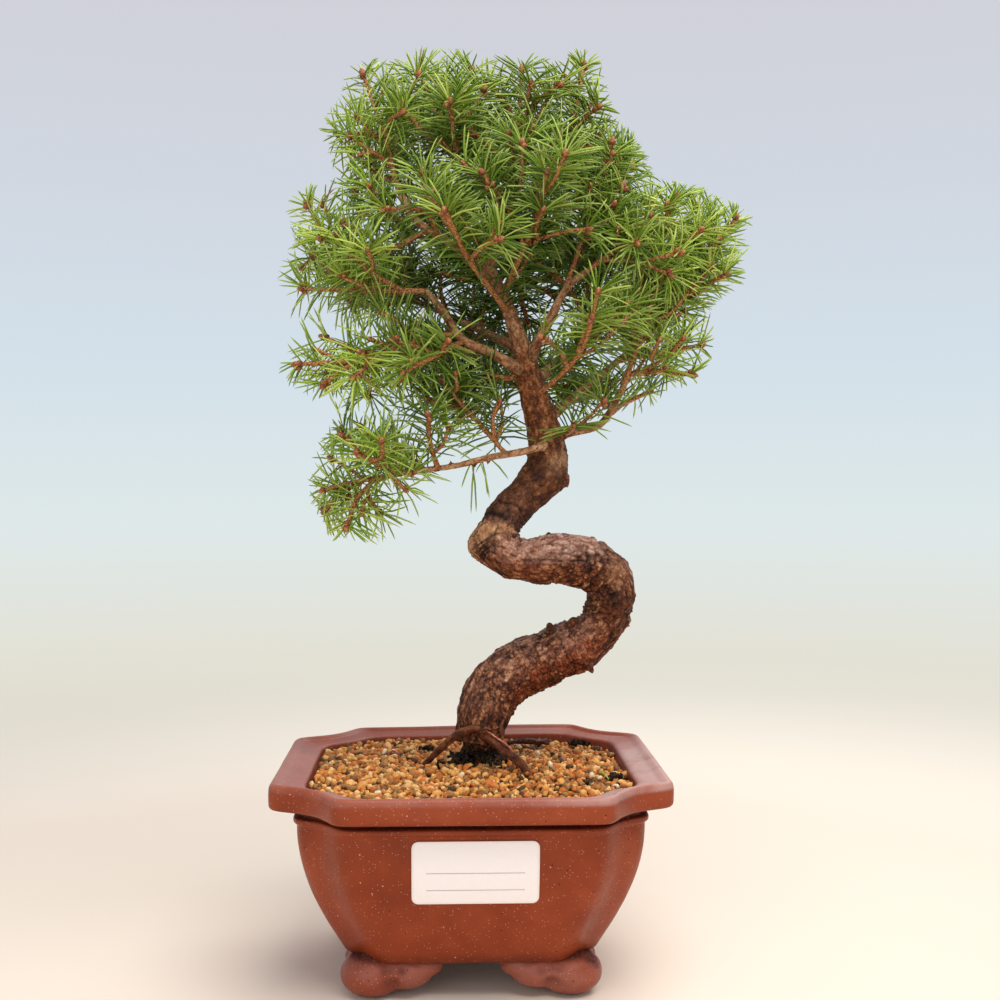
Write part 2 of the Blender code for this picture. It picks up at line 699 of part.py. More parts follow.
def nearest_on(line, place):
    """The closest point of a polyline, and its segment."""
    best = None
    for i in range(len(line) - 1):
        run = line[i + 1] - line[i]
        share = min(1.0, max(0.0, (place - line[i]) @ run / (run @ run)))
        point = line[i] + run * share
        away = np.linalg.norm(place - point)
        if best is None or away < best[0]:
            best = (away, point, i, share)
    return best[1:]


def closest(p, q, starts, ends):
    """Shortest distance from segment p-q to each of many segments, and how far along each it falls."""
    own, others, offset = q - p, ends - starts, p - starts
    a, e = own @ own, (others * others).sum(1)
    b, c, f = others @ own, offset @ own, (others * offset).sum(1)
    under = a * e - b * b
    s = np.clip(np.where(under > 1e-9, (b * f - c * e) / np.maximum(under, 1e-9), 0.0), 0, 1)
    t = np.clip((b * s + f) / np.maximum(e, 1e-9), 0, 1)
    s = np.clip((b * t - c) / a, 0, 1)
    apart = offset + s[:, None] * own - t[:, None] * others
    return np.linalg.norm(apart, axis=1), s, t


class Wood:
    """All stems laid so far, as thick segments, to keep new ones clear of them."""

    def __init__(self):
        self.starts, self.ends, self.radii, self.owner = [], [], [], []

    def add(self, path, radii, owner):
        for i in range(len(path) - 1):
            self.starts.append(path[i])
            self.ends.append(path[i + 1])
            self.radii.append(max(radii[i], radii[i + 1]))
            self.owner.append(owner)

    def arrays(self):
        return np.array(self.starts), np.array(self.ends), np.array(self.radii), np.array(self.owner)


def shoot_is_clear(path, wood, clear, skip_first):
    starts, ends, radii, _ = wood.arrays()
    run = 0.0
    for i in range(len(path) - 1):
        run += np.linalg.norm(path[i + 1] - path[i])
        if run < skip_first:
            continue
        gaps, _, _ = closest(path[i], path[i + 1], starts, ends)
        if (gaps - radii < clear).any():
            return False
    return True


def grow_shoots(bark):
    """Every leafy stem's path. A stem whose way is blocked is bent aside until it is clear."""
    rng = random.Random(SEED)
    wood = Wood()
    for number, name in enumerate(["trunk"] + list(BRANCHES)):
        path, radii = carrier_line(name)
        wood.add(path, radii, -1 - number)
    shoots = []
    for spray, (carrier, points, sides) in SPRAYS.items():
        line, radii = carrier_line(carrier)
        points = [np.array(p, float) for p in points]
        root, i, share = nearest_on(line, points[0])
        radius = radii[i] + (radii[i + 1] - radii[i]) * share
        main = seated(bent_clear([root] + points[1:], wood, radius + 7.0, rng), bark)
        shoots.append(Shoot(main, spray, False))
        mine = [main]
        stations = stations_along(length_of(main), BARE_MAIN)
        core = [at_distance(main, along) for along, _ in stations]
        for start, tip in sides:
            spot = int(start * (len(main) - 1))
            forward = main[min(spot + 2, len(main) - 1)] - main[spot]
            joint = nearest_on(core, main[spot])[0]
            tip = np.array(tip, float)
            middle = joint + 0.45 * (tip - joint) + 0.35 * forward
            side = bent_clear([joint, middle, tip], wood, 0.0, rng)
            shoots.append(Shoot(side, spray, True))
            mine.append(side)
        for number, path in enumerate(mine, len(shoots) - len(mine)):
            wood.add(path, [SHOOT_RADIUS] * len(path), number)
            bud = path[-1] + (path[-1] - path[-2]) / np.linalg.norm(path[-1] - path[-2]) * BUD_LENGTH
            wood.add([path[-1], bud], [BUD_RADIUS] * 2, number)
    return shoots, wood


def bent_clear(points, wood, skip_first, rng):
    path = smooth_path(points, STEM_STEP)
    for attempt in range(60):
        if shoot_is_clear(path, wood, SHOOT_CLEARANCE, skip_first):
            break
        reach = 1.0 + 0.2 * attempt
        moved = [points[0]] + [
            p + reach * np.array([rng.uniform(-1, 1) for _ in range(3)]) * (j + 1) / len(points)
            for j, p in enumerate(points[1:])
        ]
        path = smooth_path(moved, STEM_STEP)
    return path


def height_over(surface, place):
    """How far a point stands off a closed surface, less than zero inside it."""
    near, normal, _, away = surface.find_nearest(Vector(place))
    return math.copysign(away, (Vector(place) - near).dot(normal))


def seated(path, bark):
    """Starts a path where its base stands just clear of the bark of the branch that carries it."""
    axis = (path[1] - path[0]) / np.linalg.norm(path[1] - path[0])
    side = np.cross(axis, (0.3, 1.0, 0.2))
    side /= np.linalg.norm(side)
    up = np.cross(axis, side)
    turns = [2 * math.pi * i / 6 for i in range(6)]
    edge = [SHOOT_RADIUS * (math.cos(turn) * side + math.sin(turn) * up) for turn in turns]
    for walked in np.arange(0.0, 4 * STEM_STEP, SEAT_STEP):
        start = path[0] + walked * axis
        if all(height_over(bark, start + out) > SEATED_GAP for out in edge):
            break
    keep = [p for p in path if (p - start) @ axis > 0 and np.linalg.norm(p - start) > 1.5]
    return np.array([start] + keep)


def at_distance(path, wanted):
    along = np.concatenate([[0], np.cumsum(np.linalg.norm(np.diff(path, axis=0), axis=1))])
    return np.array([np.interp(wanted, along, column) for column in path.T])


def length_of(path):
    return float(np.linalg.norm(np.diff(path, axis=0), axis=1).sum())


def whorl_places(length, bare):
    """Distances along a shoot where its needles stand, with how far they lean out, in degrees."""
    places = [(length - back, lean) for back, lean in TIP_LEANS]
    along = length - TIP_LEANS[-1][0] - 0.8 * WHORL_PITCH
    while along > bare:
        places.append((along, WHORL_LEAN))
        along -= WHORL_PITCH
    return sorted(places)


def stations_along(length, bare):
    """Where a shoot has a ring of points, each with the lean of the needles between it and the next."""
    stations = [(0.0, None)]
    for along, lean in whorl_places(length, bare):
        if along - WHORL_WIDTH / 2 - stations[-1][0] < CLOSED_UP:
            stations[-1] = (stations[-1][0], lean)
        else:
            stations.append((along - WHORL_WIDTH / 2, lean))
        stations.append((along + WHORL_WIDTH / 2, None))
    return stations


def shoot_rings(shoot, rng):
    """Rings of three points along a shoot, with the places where needles stand."""
    path = shoot.path
    length = length_of(path)
    stations = stations_along(length, BARE_SIDE if shoot.is_side else BARE_MAIN)
    stations.append((length + 0.45 * BUD_LENGTH, None))
    centres = [at_distance(path, min(s, length)) for s, _ in stations]
    forward = at_distance(path, length) - at_distance(path, length - 2)
    forward /= np.linalg.norm(forward)
    centres[-1] = centres[-1] + forward * 0.45 * BUD_LENGTH
    if shoot.is_side:
        run = centres[1] - centres[0]
        centres[0] = centres[0] - SIDE_SINK * run / np.linalg.norm(run)
    axis, side, up = frames(np.array(centres))
    rings = []
    turn = rng.uniform(0, 6.28)
    for i, (along, _) in enumerate(stations):
        share = min(1.0, along / length)
        radius = SHOOT_RADIUS + (SHOOT_TIP_RADIUS - SHOOT_RADIUS) * share
        if i == len(stations) - 1:
            radius = BUD_RADIUS
        ring = [
            centres[i] + radius * (math.cos(turn + a) * side[i] + math.sin(turn + a) * up[i])
            for a in (0.0, 2 * math.pi / 3, 4 * math.pi / 3)
        ]
        rings.append(ring)
        turn += math.pi / 3 + (0.0 if stations[i][1] else rng.uniform(0.25, 0.5))
    bud = centres[-1] + forward * 0.55 * BUD_LENGTH
    return stations, rings, axis, bud


def needle_choices(base, outward, axis, lean, rng):
    """Tips that a needle could have, the one it would like first."""
    length = NEEDLE_LENGTH * rng.uniform(0.9, 1.08)
    across = np.cross(axis, outward)
    for shorten in (1.0, 0.85, 0.7):
        for twist, tilt in NEEDLE_TURNS:
            angle = math.radians(lean + tilt + rng.uniform(-3, 3))
            swing = math.radians(twist)
            away = math.cos(swing) * outward + math.sin(swing) * across
            yield base + length * shorten * (math.cos(angle) * axis + math.sin(angle) * away)


def pull_needles(shoots, wood):
    """Triangles of every shoot, with a needle drawn out of each facet of its whorls where there is room."""
    rng = random.Random(SEED)
    starts, ends, radii, owner = wood.arrays()
    laid = ([], [], [])
    meshes = {}
    order = sorted(range(len(shoots)), key=lambda i: not shoots[i].is_side)
    whorl = 0
    for number in order:
        shoot = shoots[number]
        stations, rings, axis, bud = shoot_rings(shoot, rng)
        points = [p for ring in rings for p in ring]
        faces = [(2, 1, 0)]
        other = owner != number
        others = (starts[other], ends[other], radii[other])
        for i in reversed(range(len(rings) - 1)):
            low, high = 3 * i, 3 * i + 3
            lean = stations[i][1]
            whorl += 1
            for j in range(3):
                k = (j + 1) % 3
                for face in ((low + j, low + k, high + j), (low + k, high + k, high + j)):
                    tip = None
                    if lean:
                        corners = [points[n] for n in face]
                        tip = room_for_needle(corners, axis[i], lean, rng, whorl, others, laid)
                    if tip is None:
                        faces.append(face)
                        continue
                    points.append(tip)
                    last = len(points) - 1
                    faces += [(face[0], face[1], last), (face[1], face[2], last), (face[2], face[0], last)]
        points.append(bud)
        top, end = 3 * (len(rings) - 1), len(points) - 1
        faces += [(top, top + 1, end), (top + 1, top + 2, end), (top + 2, top, end)]
        meshes.setdefault(shoot.spray, []).append((points, faces))
    return meshes


def room_for_needle(corners, axis, lean, rng, whorl, wood, laid):
    starts, ends, radii = wood
    laid_from, laid_to, laid_whorl = laid
    base = sum(corners) / 3
    normal = np.cross(corners[1] - corners[0], corners[2] - corners[0])
    outward = normal - axis * (normal @ axis)
    outward /= np.linalg.norm(outward)
    near = np.linalg.norm((starts + ends) / 2 - base, axis=1) < 30
    if laid_from:
        mids = (np.array(laid_from) + np.array(laid_to)) / 2
        close = (np.linalg.norm(mids - base, axis=1) < 2.2 * NEEDLE_LENGTH) & (np.array(laid_whorl) != whorl)
        there, to = np.array(laid_from)[close], np.array(laid_to)[close]
    else:
        there = to = np.zeros((0, 3))
    for tip in needle_choices(base, outward, axis, lean, rng):
        foot = base + 0.14 * (tip - base)
        gaps, s, _ = closest(foot, tip, starts[near], ends[near])
        if (gaps - radii[near] - NEEDLE_ROOT_RADIUS * (1 - s) < SEATED_GAP).any():
            continue
        if len(there):
            gaps, s, t = closest(base, tip, there, to)
            if (gaps - NEEDLE_ROOT_RADIUS * (2.0 - s - t) < SEATED_GAP + 0.1).any():
                continue
        laid_from.append(base)
        laid_to.append(tip)
        laid_whorl.append(whorl)
        return tip
    return None


def make_sprays(tree):
    bark = BVHTree.FromPolygons(
        [v.co / MM for v in tree.data.vertices], [tuple(p.vertices) for p in tree.data.polygons]
    )
    shoots, wood = grow_shoots(bark)
    sprays = []
    for spray, pieces in pull_needles(shoots, wood).items():
        # The main shoot is made last, so that its side shoots join it
        parts = [add_object("spray_" + spray, points, faces, "needles") for points, faces in reversed(pieces)]
        parts[0].name = "spray_" + spray
        if len(parts) > 1:
            boolean(parts[0], parts[1:], "UNION", "MANIFOLD")
        sprays.append(parts[0])
    return sprays


def make_label():
    """A blank paper sticker that follows the curve of the pot's front face."""
    rings = []
    for height in np.linspace(LABEL_LOW, LABEL_HIGH, LABEL_BENDS + 1):
        front = -body_half(height) - SEATED_GAP
        low, high = LABEL_CENTRE_X - LABEL_WIDTH / 2, LABEL_CENTRE_X + LABEL_WIDTH / 2
        face = front - LABEL_THICK
        rings.append([(low, front, height), (low, face, height), (high, face, height), (high, front, height)])
    return add_object("label", *skin(rings), "paper")


def make_screen():
    """Square plastic screen over the drain hole, with openings that let water through."""
    half = SCREEN_SIZE / 2
    middle = CAVITY_FLOOR + SEATED_GAP + SCREEN_THICK / 2
    screen = add_object("drain_screen", *block((0, 0, middle), (half, half, SCREEN_THICK / 2)), "black mesh")
    place = (SCREEN_OPENING + SCREEN_BAR) / 2
    size = (SCREEN_OPENING / 2, SCREEN_OPENING / 2, SCREEN_THICK)
    holes = [
        add_object("opening", *block((place * i, place * j, middle), size), "black mesh")
        for i in (-1, 1)
        for j in (-1, 1)
    ]
    boolean(screen, holes, "DIFFERENCE")
    return screen


def pin_line(name, extra=0.0):
    step, points = PINS[name]
    path = smooth_path(points, step)
    if extra:
        path[0] += (path[0] - path[1]) / np.linalg.norm(path[0] - path[1]) * extra
        path[-1] += (path[-1] - path[-2]) / np.linalg.norm(path[-1] - path[-2]) * extra
    return path, [PIN_RADIUS + extra] * len(path)


def make_pins():
    return [add_object(name, *tube(*pin_line(name), PIN_SIDES), "copper") for name in PINS]


def soil_cutters():
    holes = [tube(*root_line(root, SEATED_GAP), ROOT_SIDES) for root in ROOTS]
    holes += [tube(*pin_line(name, SEATED_GAP), PIN_SIDES) for name in PINS]
    return [add_object("hole", *hole, "grit") for hole in holes]


def stand_on_centre(things):
    """Moves the whole plant so that its box is centred over the origin."""
    corners = np.array([thing.matrix_world @ v.co for thing in things for v in thing.data.vertices])
    middle = (corners.min(axis=0) + corners.max(axis=0)) / 2
    for thing in things:
        thing.location.x = -middle[0]
        thing.location.y = -middle[1]


def main():
    clear_scene()
    tree = make_tree()
    things = [make_pot(), tree, make_label(), make_screen()]
    things.append(make_soil(soil_cutters()))
    things += make_pins()
    things += make_sprays(tree)
    stand_on_centre(things)


main()
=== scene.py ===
"""Finished look of the potted spruce bonsai: bark, needles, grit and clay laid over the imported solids.

Points in the tables and in the making functions are in millimetres, from the middle of the pot's
underside; add_piece turns them into metres in the frame.
"""

import math

import bpy
import numpy as np
from mathutils import Matrix, Vector


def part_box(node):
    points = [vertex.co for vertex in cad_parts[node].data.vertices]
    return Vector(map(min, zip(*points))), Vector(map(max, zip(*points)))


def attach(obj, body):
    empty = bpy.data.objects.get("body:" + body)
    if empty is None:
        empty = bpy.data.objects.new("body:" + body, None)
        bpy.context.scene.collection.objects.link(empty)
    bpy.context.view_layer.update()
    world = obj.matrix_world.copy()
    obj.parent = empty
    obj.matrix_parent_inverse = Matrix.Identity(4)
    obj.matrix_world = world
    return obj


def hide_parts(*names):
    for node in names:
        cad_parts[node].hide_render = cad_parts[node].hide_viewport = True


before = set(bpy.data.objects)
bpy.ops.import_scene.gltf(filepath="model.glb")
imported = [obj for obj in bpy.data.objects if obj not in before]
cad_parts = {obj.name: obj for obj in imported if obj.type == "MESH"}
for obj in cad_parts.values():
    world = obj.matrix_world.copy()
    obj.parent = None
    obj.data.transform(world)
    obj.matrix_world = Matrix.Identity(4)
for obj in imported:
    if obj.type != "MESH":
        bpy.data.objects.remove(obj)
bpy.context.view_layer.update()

MM = 0.001
SEED = 11
POT_LOW, POT_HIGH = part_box("pot")
POT_MIDDLE = np.array([(POT_LOW.x + POT_HIGH.x) / 2, (POT_LOW.y + POT_HIGH.y) / 2, POT_LOW.z])

# Camera, in millimetres from the middle of the pot's underside
CAMERA_AT = (-12.86, -604.44, 204.21)
CAMERA_AHEAD = (0.04264, 0.99905, -0.00933)
CAMERA_UP = (-0.00123, 0.00939, 0.99996)
CAMERA_LENS = 50.4

# Pot
RIM_HALF = 80.7
RIM_TOP = 87.0
RIM_BAND_BOTTOM = 76.6
RIM_WIDTH = 14.0
RIM_STRAIGHT_HALF = 52.3
RIM_NARROWING = math.tan(math.pi / 8)
BODY_TOP = 72.9
BODY_TOP_HALF = 69.8
BODY_BOTTOM = 15.0
BODY_BOTTOM_HALF = 51.4
NOTCH_TOP = 18.6
NOTCH_BOTTOM = 15.5
NOTCH_SAG_SHARE = 0.13
RIM_SOFTNESS = 2.7
BODY_SOFTNESS = 4.4
MOUTH_SOFTNESS = 5.6
CAVITY_HALF = 64.0
CAVITY_FLOOR = 22.0
CAVITY_FLOOR_HALF = 44.0
CAVITY_MOUTH = 82.6
DRAIN_RADIUS = 10.0
# The outer profile, from the body's top: how high and how far out
BEAD = [(-3.0, 0.0), (-2.3, 0.3), (-1.8, 1.2), (-0.7, 1.5), (0.1, 1.1), (0.5, -0.4), (1.0, -2.4)]
# The underside's edge: height, and how far out of the body's side
UNDER_EDGE = [(15.0, -2.0), (15.2, -1.0), (15.7, -0.35), (16.3, 0.0)]
INNER_LEVELS = (77.6, 66.0, 52.0, 42.0, 33.0, 26.0, CAVITY_FLOOR)
# Lobes of the foot under one corner, each with its mirror image across the diagonal: middle, radii, fullness
FOOT_LOBES = [
    ((39.8, 39.8, 8.6), (13.2, 13.2, 9.0), 0.84),
    ((27.0, 42.6, 10.2), (11.8, 9.6, 7.0), 0.86),
    ((19.0, 42.4, 12.6), (7.8, 7.6, 4.8), 0.82),
]
# Dimples between the lobes, with their mirror images: place and width
FOOT_DIMPLES = [((31.5, 52.0, 7.0), 3.0), ((28.0, 51.5, 12.6), 2.2), ((33.0, 52.0, 13.2), 2.2)]
FOOT_CELL = 0.85
QUARTER_TURNS = [((x, y, 0), (-y, x, 0), (0, 0, 1)) for x, y in ((1, 0), (0, 1), (-1, 0), (0, -1))]
# Points that each level of the pot is rounded with
LEVEL_STEPS = 1440
CORNER_LIFT = 1.1
FOOT_SMUDGE = (50.0, -46.0, 17.0)
LABEL_CENTRE_X = 0.9
LABEL_WIDTH = 49.2
LABEL_LOW = 43.2
LABEL_HIGH = 68.6
LABEL_CORNER = 2.6
# How far the back and the face of the label stand off the clay
LABEL_LIFTS = (0.32, 0.62)
LABEL_WORN = 0.9
RULED_AT = (49.0, 56.0)
RULED_REACH = 19.0
RULED_HALF = 0.16

# Soil and grit
SOIL_TOP = 83.2
SOIL_MOUND = 1.2
SOIL_FLOOR = 22.5
SOIL_LEVELS = (77.0, 52.0, 33.0, SOIL_FLOOR)
MOUTH_BEND = 2.2
GRIT_REACH = 70
GRIT_PITCH = 2.6
GRIT_SHAPE = (1.06, 0.84, 0.66)
TRIANGLE_HEIGHT = 0.866
# Damp patches: middle, then how wide and how deep
DAMP_SPOTS = [(1, 18, 13, 17), (-20, 38, 5, 3), (50.6, 50, 5.5, 3.3), (60, -28, 5.5, 3.3), (-24, 20, 4, 2.4)]
# Where the trunk leaves the soil bare of grit, and where that soil is heaped up, in the same form
BARE_SOIL = (3, 13, 11, 13)
SOIL_HEAP = (4, 9, 7, 8)
HEAP_HEIGHT = 6.5
CRUMBS = 280
CRUMBS_MIDDLE = (3, 12)
CRUMBS_SPREAD = (6.5, 7.5)
# Clumps of dark soil on the grit: place and size
SOIL_CLUMPS = [(50, 50, 3.4), (54, 49, 2.8), (60, -27, 3.2), (58, -31, 2.6), (-20, 38, 3.0), (-17, 36, 2.2)]
BARK_FLAKE = [(18.5, 53, 84.6), (24, 54, 85.6), (31, 53.6, 85.4), (37.5, 55, 84.4)]
BARK_FLAKE_SHIFT = (0, -10.0, 0.6)
FALLEN_NEEDLE = [(53.6, -25, 85.4), (54.6, -32, 86.4), (55.6, -39, 85.6)]
WHITE_STONES = [(34.7, -3.7), (50.1, -26), (52.9, -31), (23.7, 40.4), (31, 22), (-38, 30)]

WIRE_RADIUS = 0.5
PINS = {
    "root_pin": [
        (7, 8, 76), (7, 6, 90), (6.5, 0, 98), (7.4, -9.0, 99.8), (11.4, -11.6, 97.6),
        (15.4, -13.4, 95.0), (17.6, -12.0, 91.6), (18.4, -8.0, 87), (18.4, -7, 77),
    ],
    "soil_pin": [
        (-36.0, 20, 76), (-36.0, 20, 83.5), (-34.6, 20, 86.2),
        (-32.4, 20, 86.2), (-31.0, 20, 83.5), (-31.0, 20, 76),
    ],
}

# Trunk: points that its centre runs through, and its radius at each
TRUNK = [
    (4.0, 5.0, 93.0, 9.5), (5.5, 5.0, 104.0, 11.4), (9.8, 8.0, 113.5, 12.2), (16.5, 10.0, 120.5, 12.6),
    (26.0, 12.0, 126.0, 12.4), (37.0, 12.0, 130.0, 12.0), (48.0, 11.0, 134.5, 11.4), (56.5, 9.0, 141.5, 10.4),
    (61.0, 7.0, 151.0, 10.2), (61.3, 4.0, 160.5, 10.6), (56.5, 0.0, 168.5, 10.8), (48.0, -5.0, 172.3, 11.0),
    (38, -9.0, 173.5, 10.6), (27.5, -11.0, 172.8, 10.0), (17.5, -11.0, 174.6, 8.8), (11.5, -8.0, 181.0, 8.4),
    (14.5, -3.5, 190.0, 8.6), (21.5, 1.0, 197.8, 8.4), (29.0, 4.0, 205.5, 8.8), (33.6, 5.0, 213.5, 8.6),
    (34.0, 5.0, 222.0, 8.2), (31.5, 4.0, 231.0, 7.2), (28.5, 3.0, 241.0, 6.4), (25.5, 2.0, 252.0, 5.6),
    (23.0, 1.0, 262.0, 4.2), (19.5, 0.5, 272.5, 3.4), (15.5, 0.0, 283.0, 2.9), (12.0, 0.0, 291.0, 2.7),
    (9.0, 0.0, 298.0, 2.5), (12.5, 0.0, 313.0, 2.3), (17.0, 0.0, 330.0, 2.0), (20.0, -1.0, 350.0, 1.6),
]
# Swellings of the trunk and old knots on it: place, how far they stand out, and how wide they are
SWELLINGS = [
    ((1.0, -9.0, 178.0), 6.0, 9.0),
    ((66.0, -4.0, 158.0), 2.0, 8.0),
    ((38.0, 0.0, 206.0), 3.0, 6.0),
    ((14.0, -16.0, 168.0), 1.6, 6.0),
]
KNOTS = [
    ((35.0, 3.0, 140.5), 2.4, 4.5),
    ((54.0, -1.0, 127.0), 2.4, 5.0),
    ((39.5, -19.0, 172.5), 1.0, 3.4),
    ((40.0, -1.0, 208.5), 1.4, 3.6),
]
ROOTS = [
    (2.0, 1.3, [(8, -1, 99), (1, -7, 100.6), (-6, -7, 98), (-14, -1, 90), (-20, 7, 82), (-27, 15, 72)]),
    (2.4, 1.5, [(4, -1, 99), (9, -9, 96.5), (15, -12, 92), (22, -15, 86.5), (26, -17, 79), (29, -20, 66)]),
    (3.4, 2.0, [(4, 8, 96), (0, 13, 90), (-3, 18, 82), (-6, 23, 72)]),
    (3.4, 2.0, [(7, 7, 96), (11, 13, 90), (14, 18, 83), (18, 23, 70)]),
    (3.8, 2.4, [(5, 6, 98), (5, 8, 88), (4, 10, 76), (2, 12, 60)]),
]
BRANCHES = {
    "low_left": (
        1.6, 1.1,
        [
            (34, 3, 224), (30, -4, 221.5), (21, -7, 219), (8, -8, 216.8), (-7, -11, 213),
            (-22, -13, 211), (-37, -15, 208),
        ],
    ),
    "mid_left": (2.3, 1.5, [(24, 1, 254), (9, -8, 261), (-4, -13, 267), (-12, -16, 278), (-19, -18, 286)]),
    "top_left": (2.2, 1.4, [(9, 0, 296), (-8, -4, 308), (-24, -8, 318), (-32, -8, 334)]),
    "leader_right": (1.9, 1.3, [(13, 0, 316), (26, 4, 330), (36, 6, 342)]),
    "right_low": (1.8, 1.3, [(33, 5, 225), (44, 4, 228), (56, 2, 231), (63, 0, 241), (69, -1, 253)]),
    "right_long": (2.0, 1.3, [(31, 5, 231), (46, 12, 244), (62, 14, 257), (79, 13, 272)]),
    "right_front": (2.4, 1.4, [(25, 1, 258), (32, -5, 272), (41, -11, 289), (50, -15, 296)]),
    "back_low": (2.5, 1.5, [(32, 5, 232), (34, 22, 239), (29, 36, 247)]),
    "back_left": (2.4, 1.4, [(22, 1, 264), (8, 16, 272), (-8, 27, 281)]),
    "back_right": (2.5, 1.5, [(27, 3, 250), (42, 20, 262), (56, 32, 275)]),
    "back_mid": (2.2, 1.4, [(17, 0, 279), (16, 18, 289), (19, 32, 298)]),
}
# Broken twig ends that stand out of the bark: root, tip, radius at the root
SNAGS = [
    ((38, 9, 135), (34.8, 6, 144.2), 3.6),
    ((46, 9, 140), (45.4, 5, 146.2), 4.6),
    ((50, 4, 130), (53.2, 1, 124.0), 2.5),
    ((34, -9, 178), (33.2, -10, 184.6), 2.6),
    ((41, 1, 209), (42.0, 0, 204.4), 2.2),
    ((16, -3, 192), (12.4, -5, 193.6), 2.4),
    ((16, -3, 188), (19.6, -6, 185.2), 1.6),
    ((36, 4, 207), (40.4, 2, 204.6), 2.4),
    ((33, 1, 228), (26.6, -2, 229.0), 1.3),
    ((27, 2, 243), (22.4, -1, 245.0), 1.2),
    ((-8, -11, 213), (-8.6, -12, 215.4), 0.8),
    ((-14, -12, 212), (-13.4, -13, 210.2), 0.7),
    ((14, -5, 217), (13.4, -6, 219.4), 0.8),
    ((2, -9, 214), (1.4, -10, 211.8), 0.7),
    ((8, -7, 216), (7.4, -8, 213.8), 0.7),
    ((-24, -13, 211.5), (-24.6, -14, 213.6), 0.7),
]

# Sides of the tube that each kind of line starts as: trunk, root, branch, snag
TUBE_SIDES = (40, 22, 18, 12)
BARK_CELL = 0.66
# How far apart the lines' own grain patterns lie, so that no two are alike
GRAIN_APART = 60.0
# How strong each mark of the bark is at these distances along the trunk, then on roots, branches and snags
MARK_STOPS = (0, 20, 78, 92, 112, 122, 146, 156, 168, 180, 200, 212, 235, 270, 330)
BARK_MARKS = {
    "scaly": ((0.8, 0.8, 0.9, 1, 1, 0.8, 0.9, 0.9, 1, 0.6, 0.6, 0.9, 0.8, 0.7, 0.5), (0.3, 0.5, 0.5)),
    "wrinkled": ((0.1, 0.2, 0.5, 1, 0.9, 0.3, 0.3, 0.6, 1, 0.2, 0.4, 0.3, 0.1, 0, 0), (0.1, 0.1, 0.1)),
    "smooth": ((0, 0, 0, 0, 0, 0.2, 0.2, 0.1, 0.2, 0.6, 0.5, 0.2, 0.2, 0.3, 0.3), (0.85, 0.2, 0.2)),
    "young": ((0, 0, 0, 0.1, 0.05, 0, 0.1, 0.3, 0.2, 0.1, 0.35, 0.8, 0.95, 1, 1), (0, 1, 0.3)),
    "dark": ((0.4, 0.15, 0.1, 0.3, 0.3, 0.1, 0.15, 0.1, 0.3, 0.6, 0.5, 0.15, 0.05, 0, 0), (0.55, 0, 0)),
    # Pale pinkish, later laid only where the bark faces up: partly its own colour, partly a painted highlight
    "pale": ((0, 0.25, 0.5, 0.2, 0.35, 1, 1, 0.5, 0.3, 0.1, 0.05, 0.1, 0.1, 0.1, 0.1), (0, 0, 0)),
}
# Folds across the trunk: how far along it, how wide, and the number that sets how it wanders
FOLDS = [
    (110, 0.8, 1), (116, 0.7, 2), (121, 0.5, 3), (158.6, 0.7, 5), (166.6, 0.9, 6), (170.4, 0.8, 9),
    (174.0, 0.6, 10), (60, 0.5, 8),
]
# The healed oval scar on the outside of the upper bend, and the pale ring and dark pleat beside it
SCAR_AT = (61.5, -9.0, 166.5)
SCAR_SHAPE = (1.1, 0.7, 0.72)
RING_ALONG = 162.6
PLEAT_ALONG = 170.5
# Other marks on the trunk: place, reach, and how it is stretched
SMOKE = ((63.0, -5.0, 155.0), 5.5, (1, 1, 0.8))
LIGHT_PATCH = ((39.5, -1.0, 214.5), 6.5, (1, 1, 1))
SHADED_PATCH = ((29.0, -3.0, 213.0), 5.5, (1.2, 0.6, 0.8))
# Rust-red patches: place and reach
RUST_SPOTS = [
    ((46, -1, 127), 9), ((52, -2, 136), 6), ((30, 0, 122), 6), ((22, 0, 114), 5),
    ((25, -22, 168), 5), ((62, -5, 150), 5), ((62, -9, 167), 5),
]

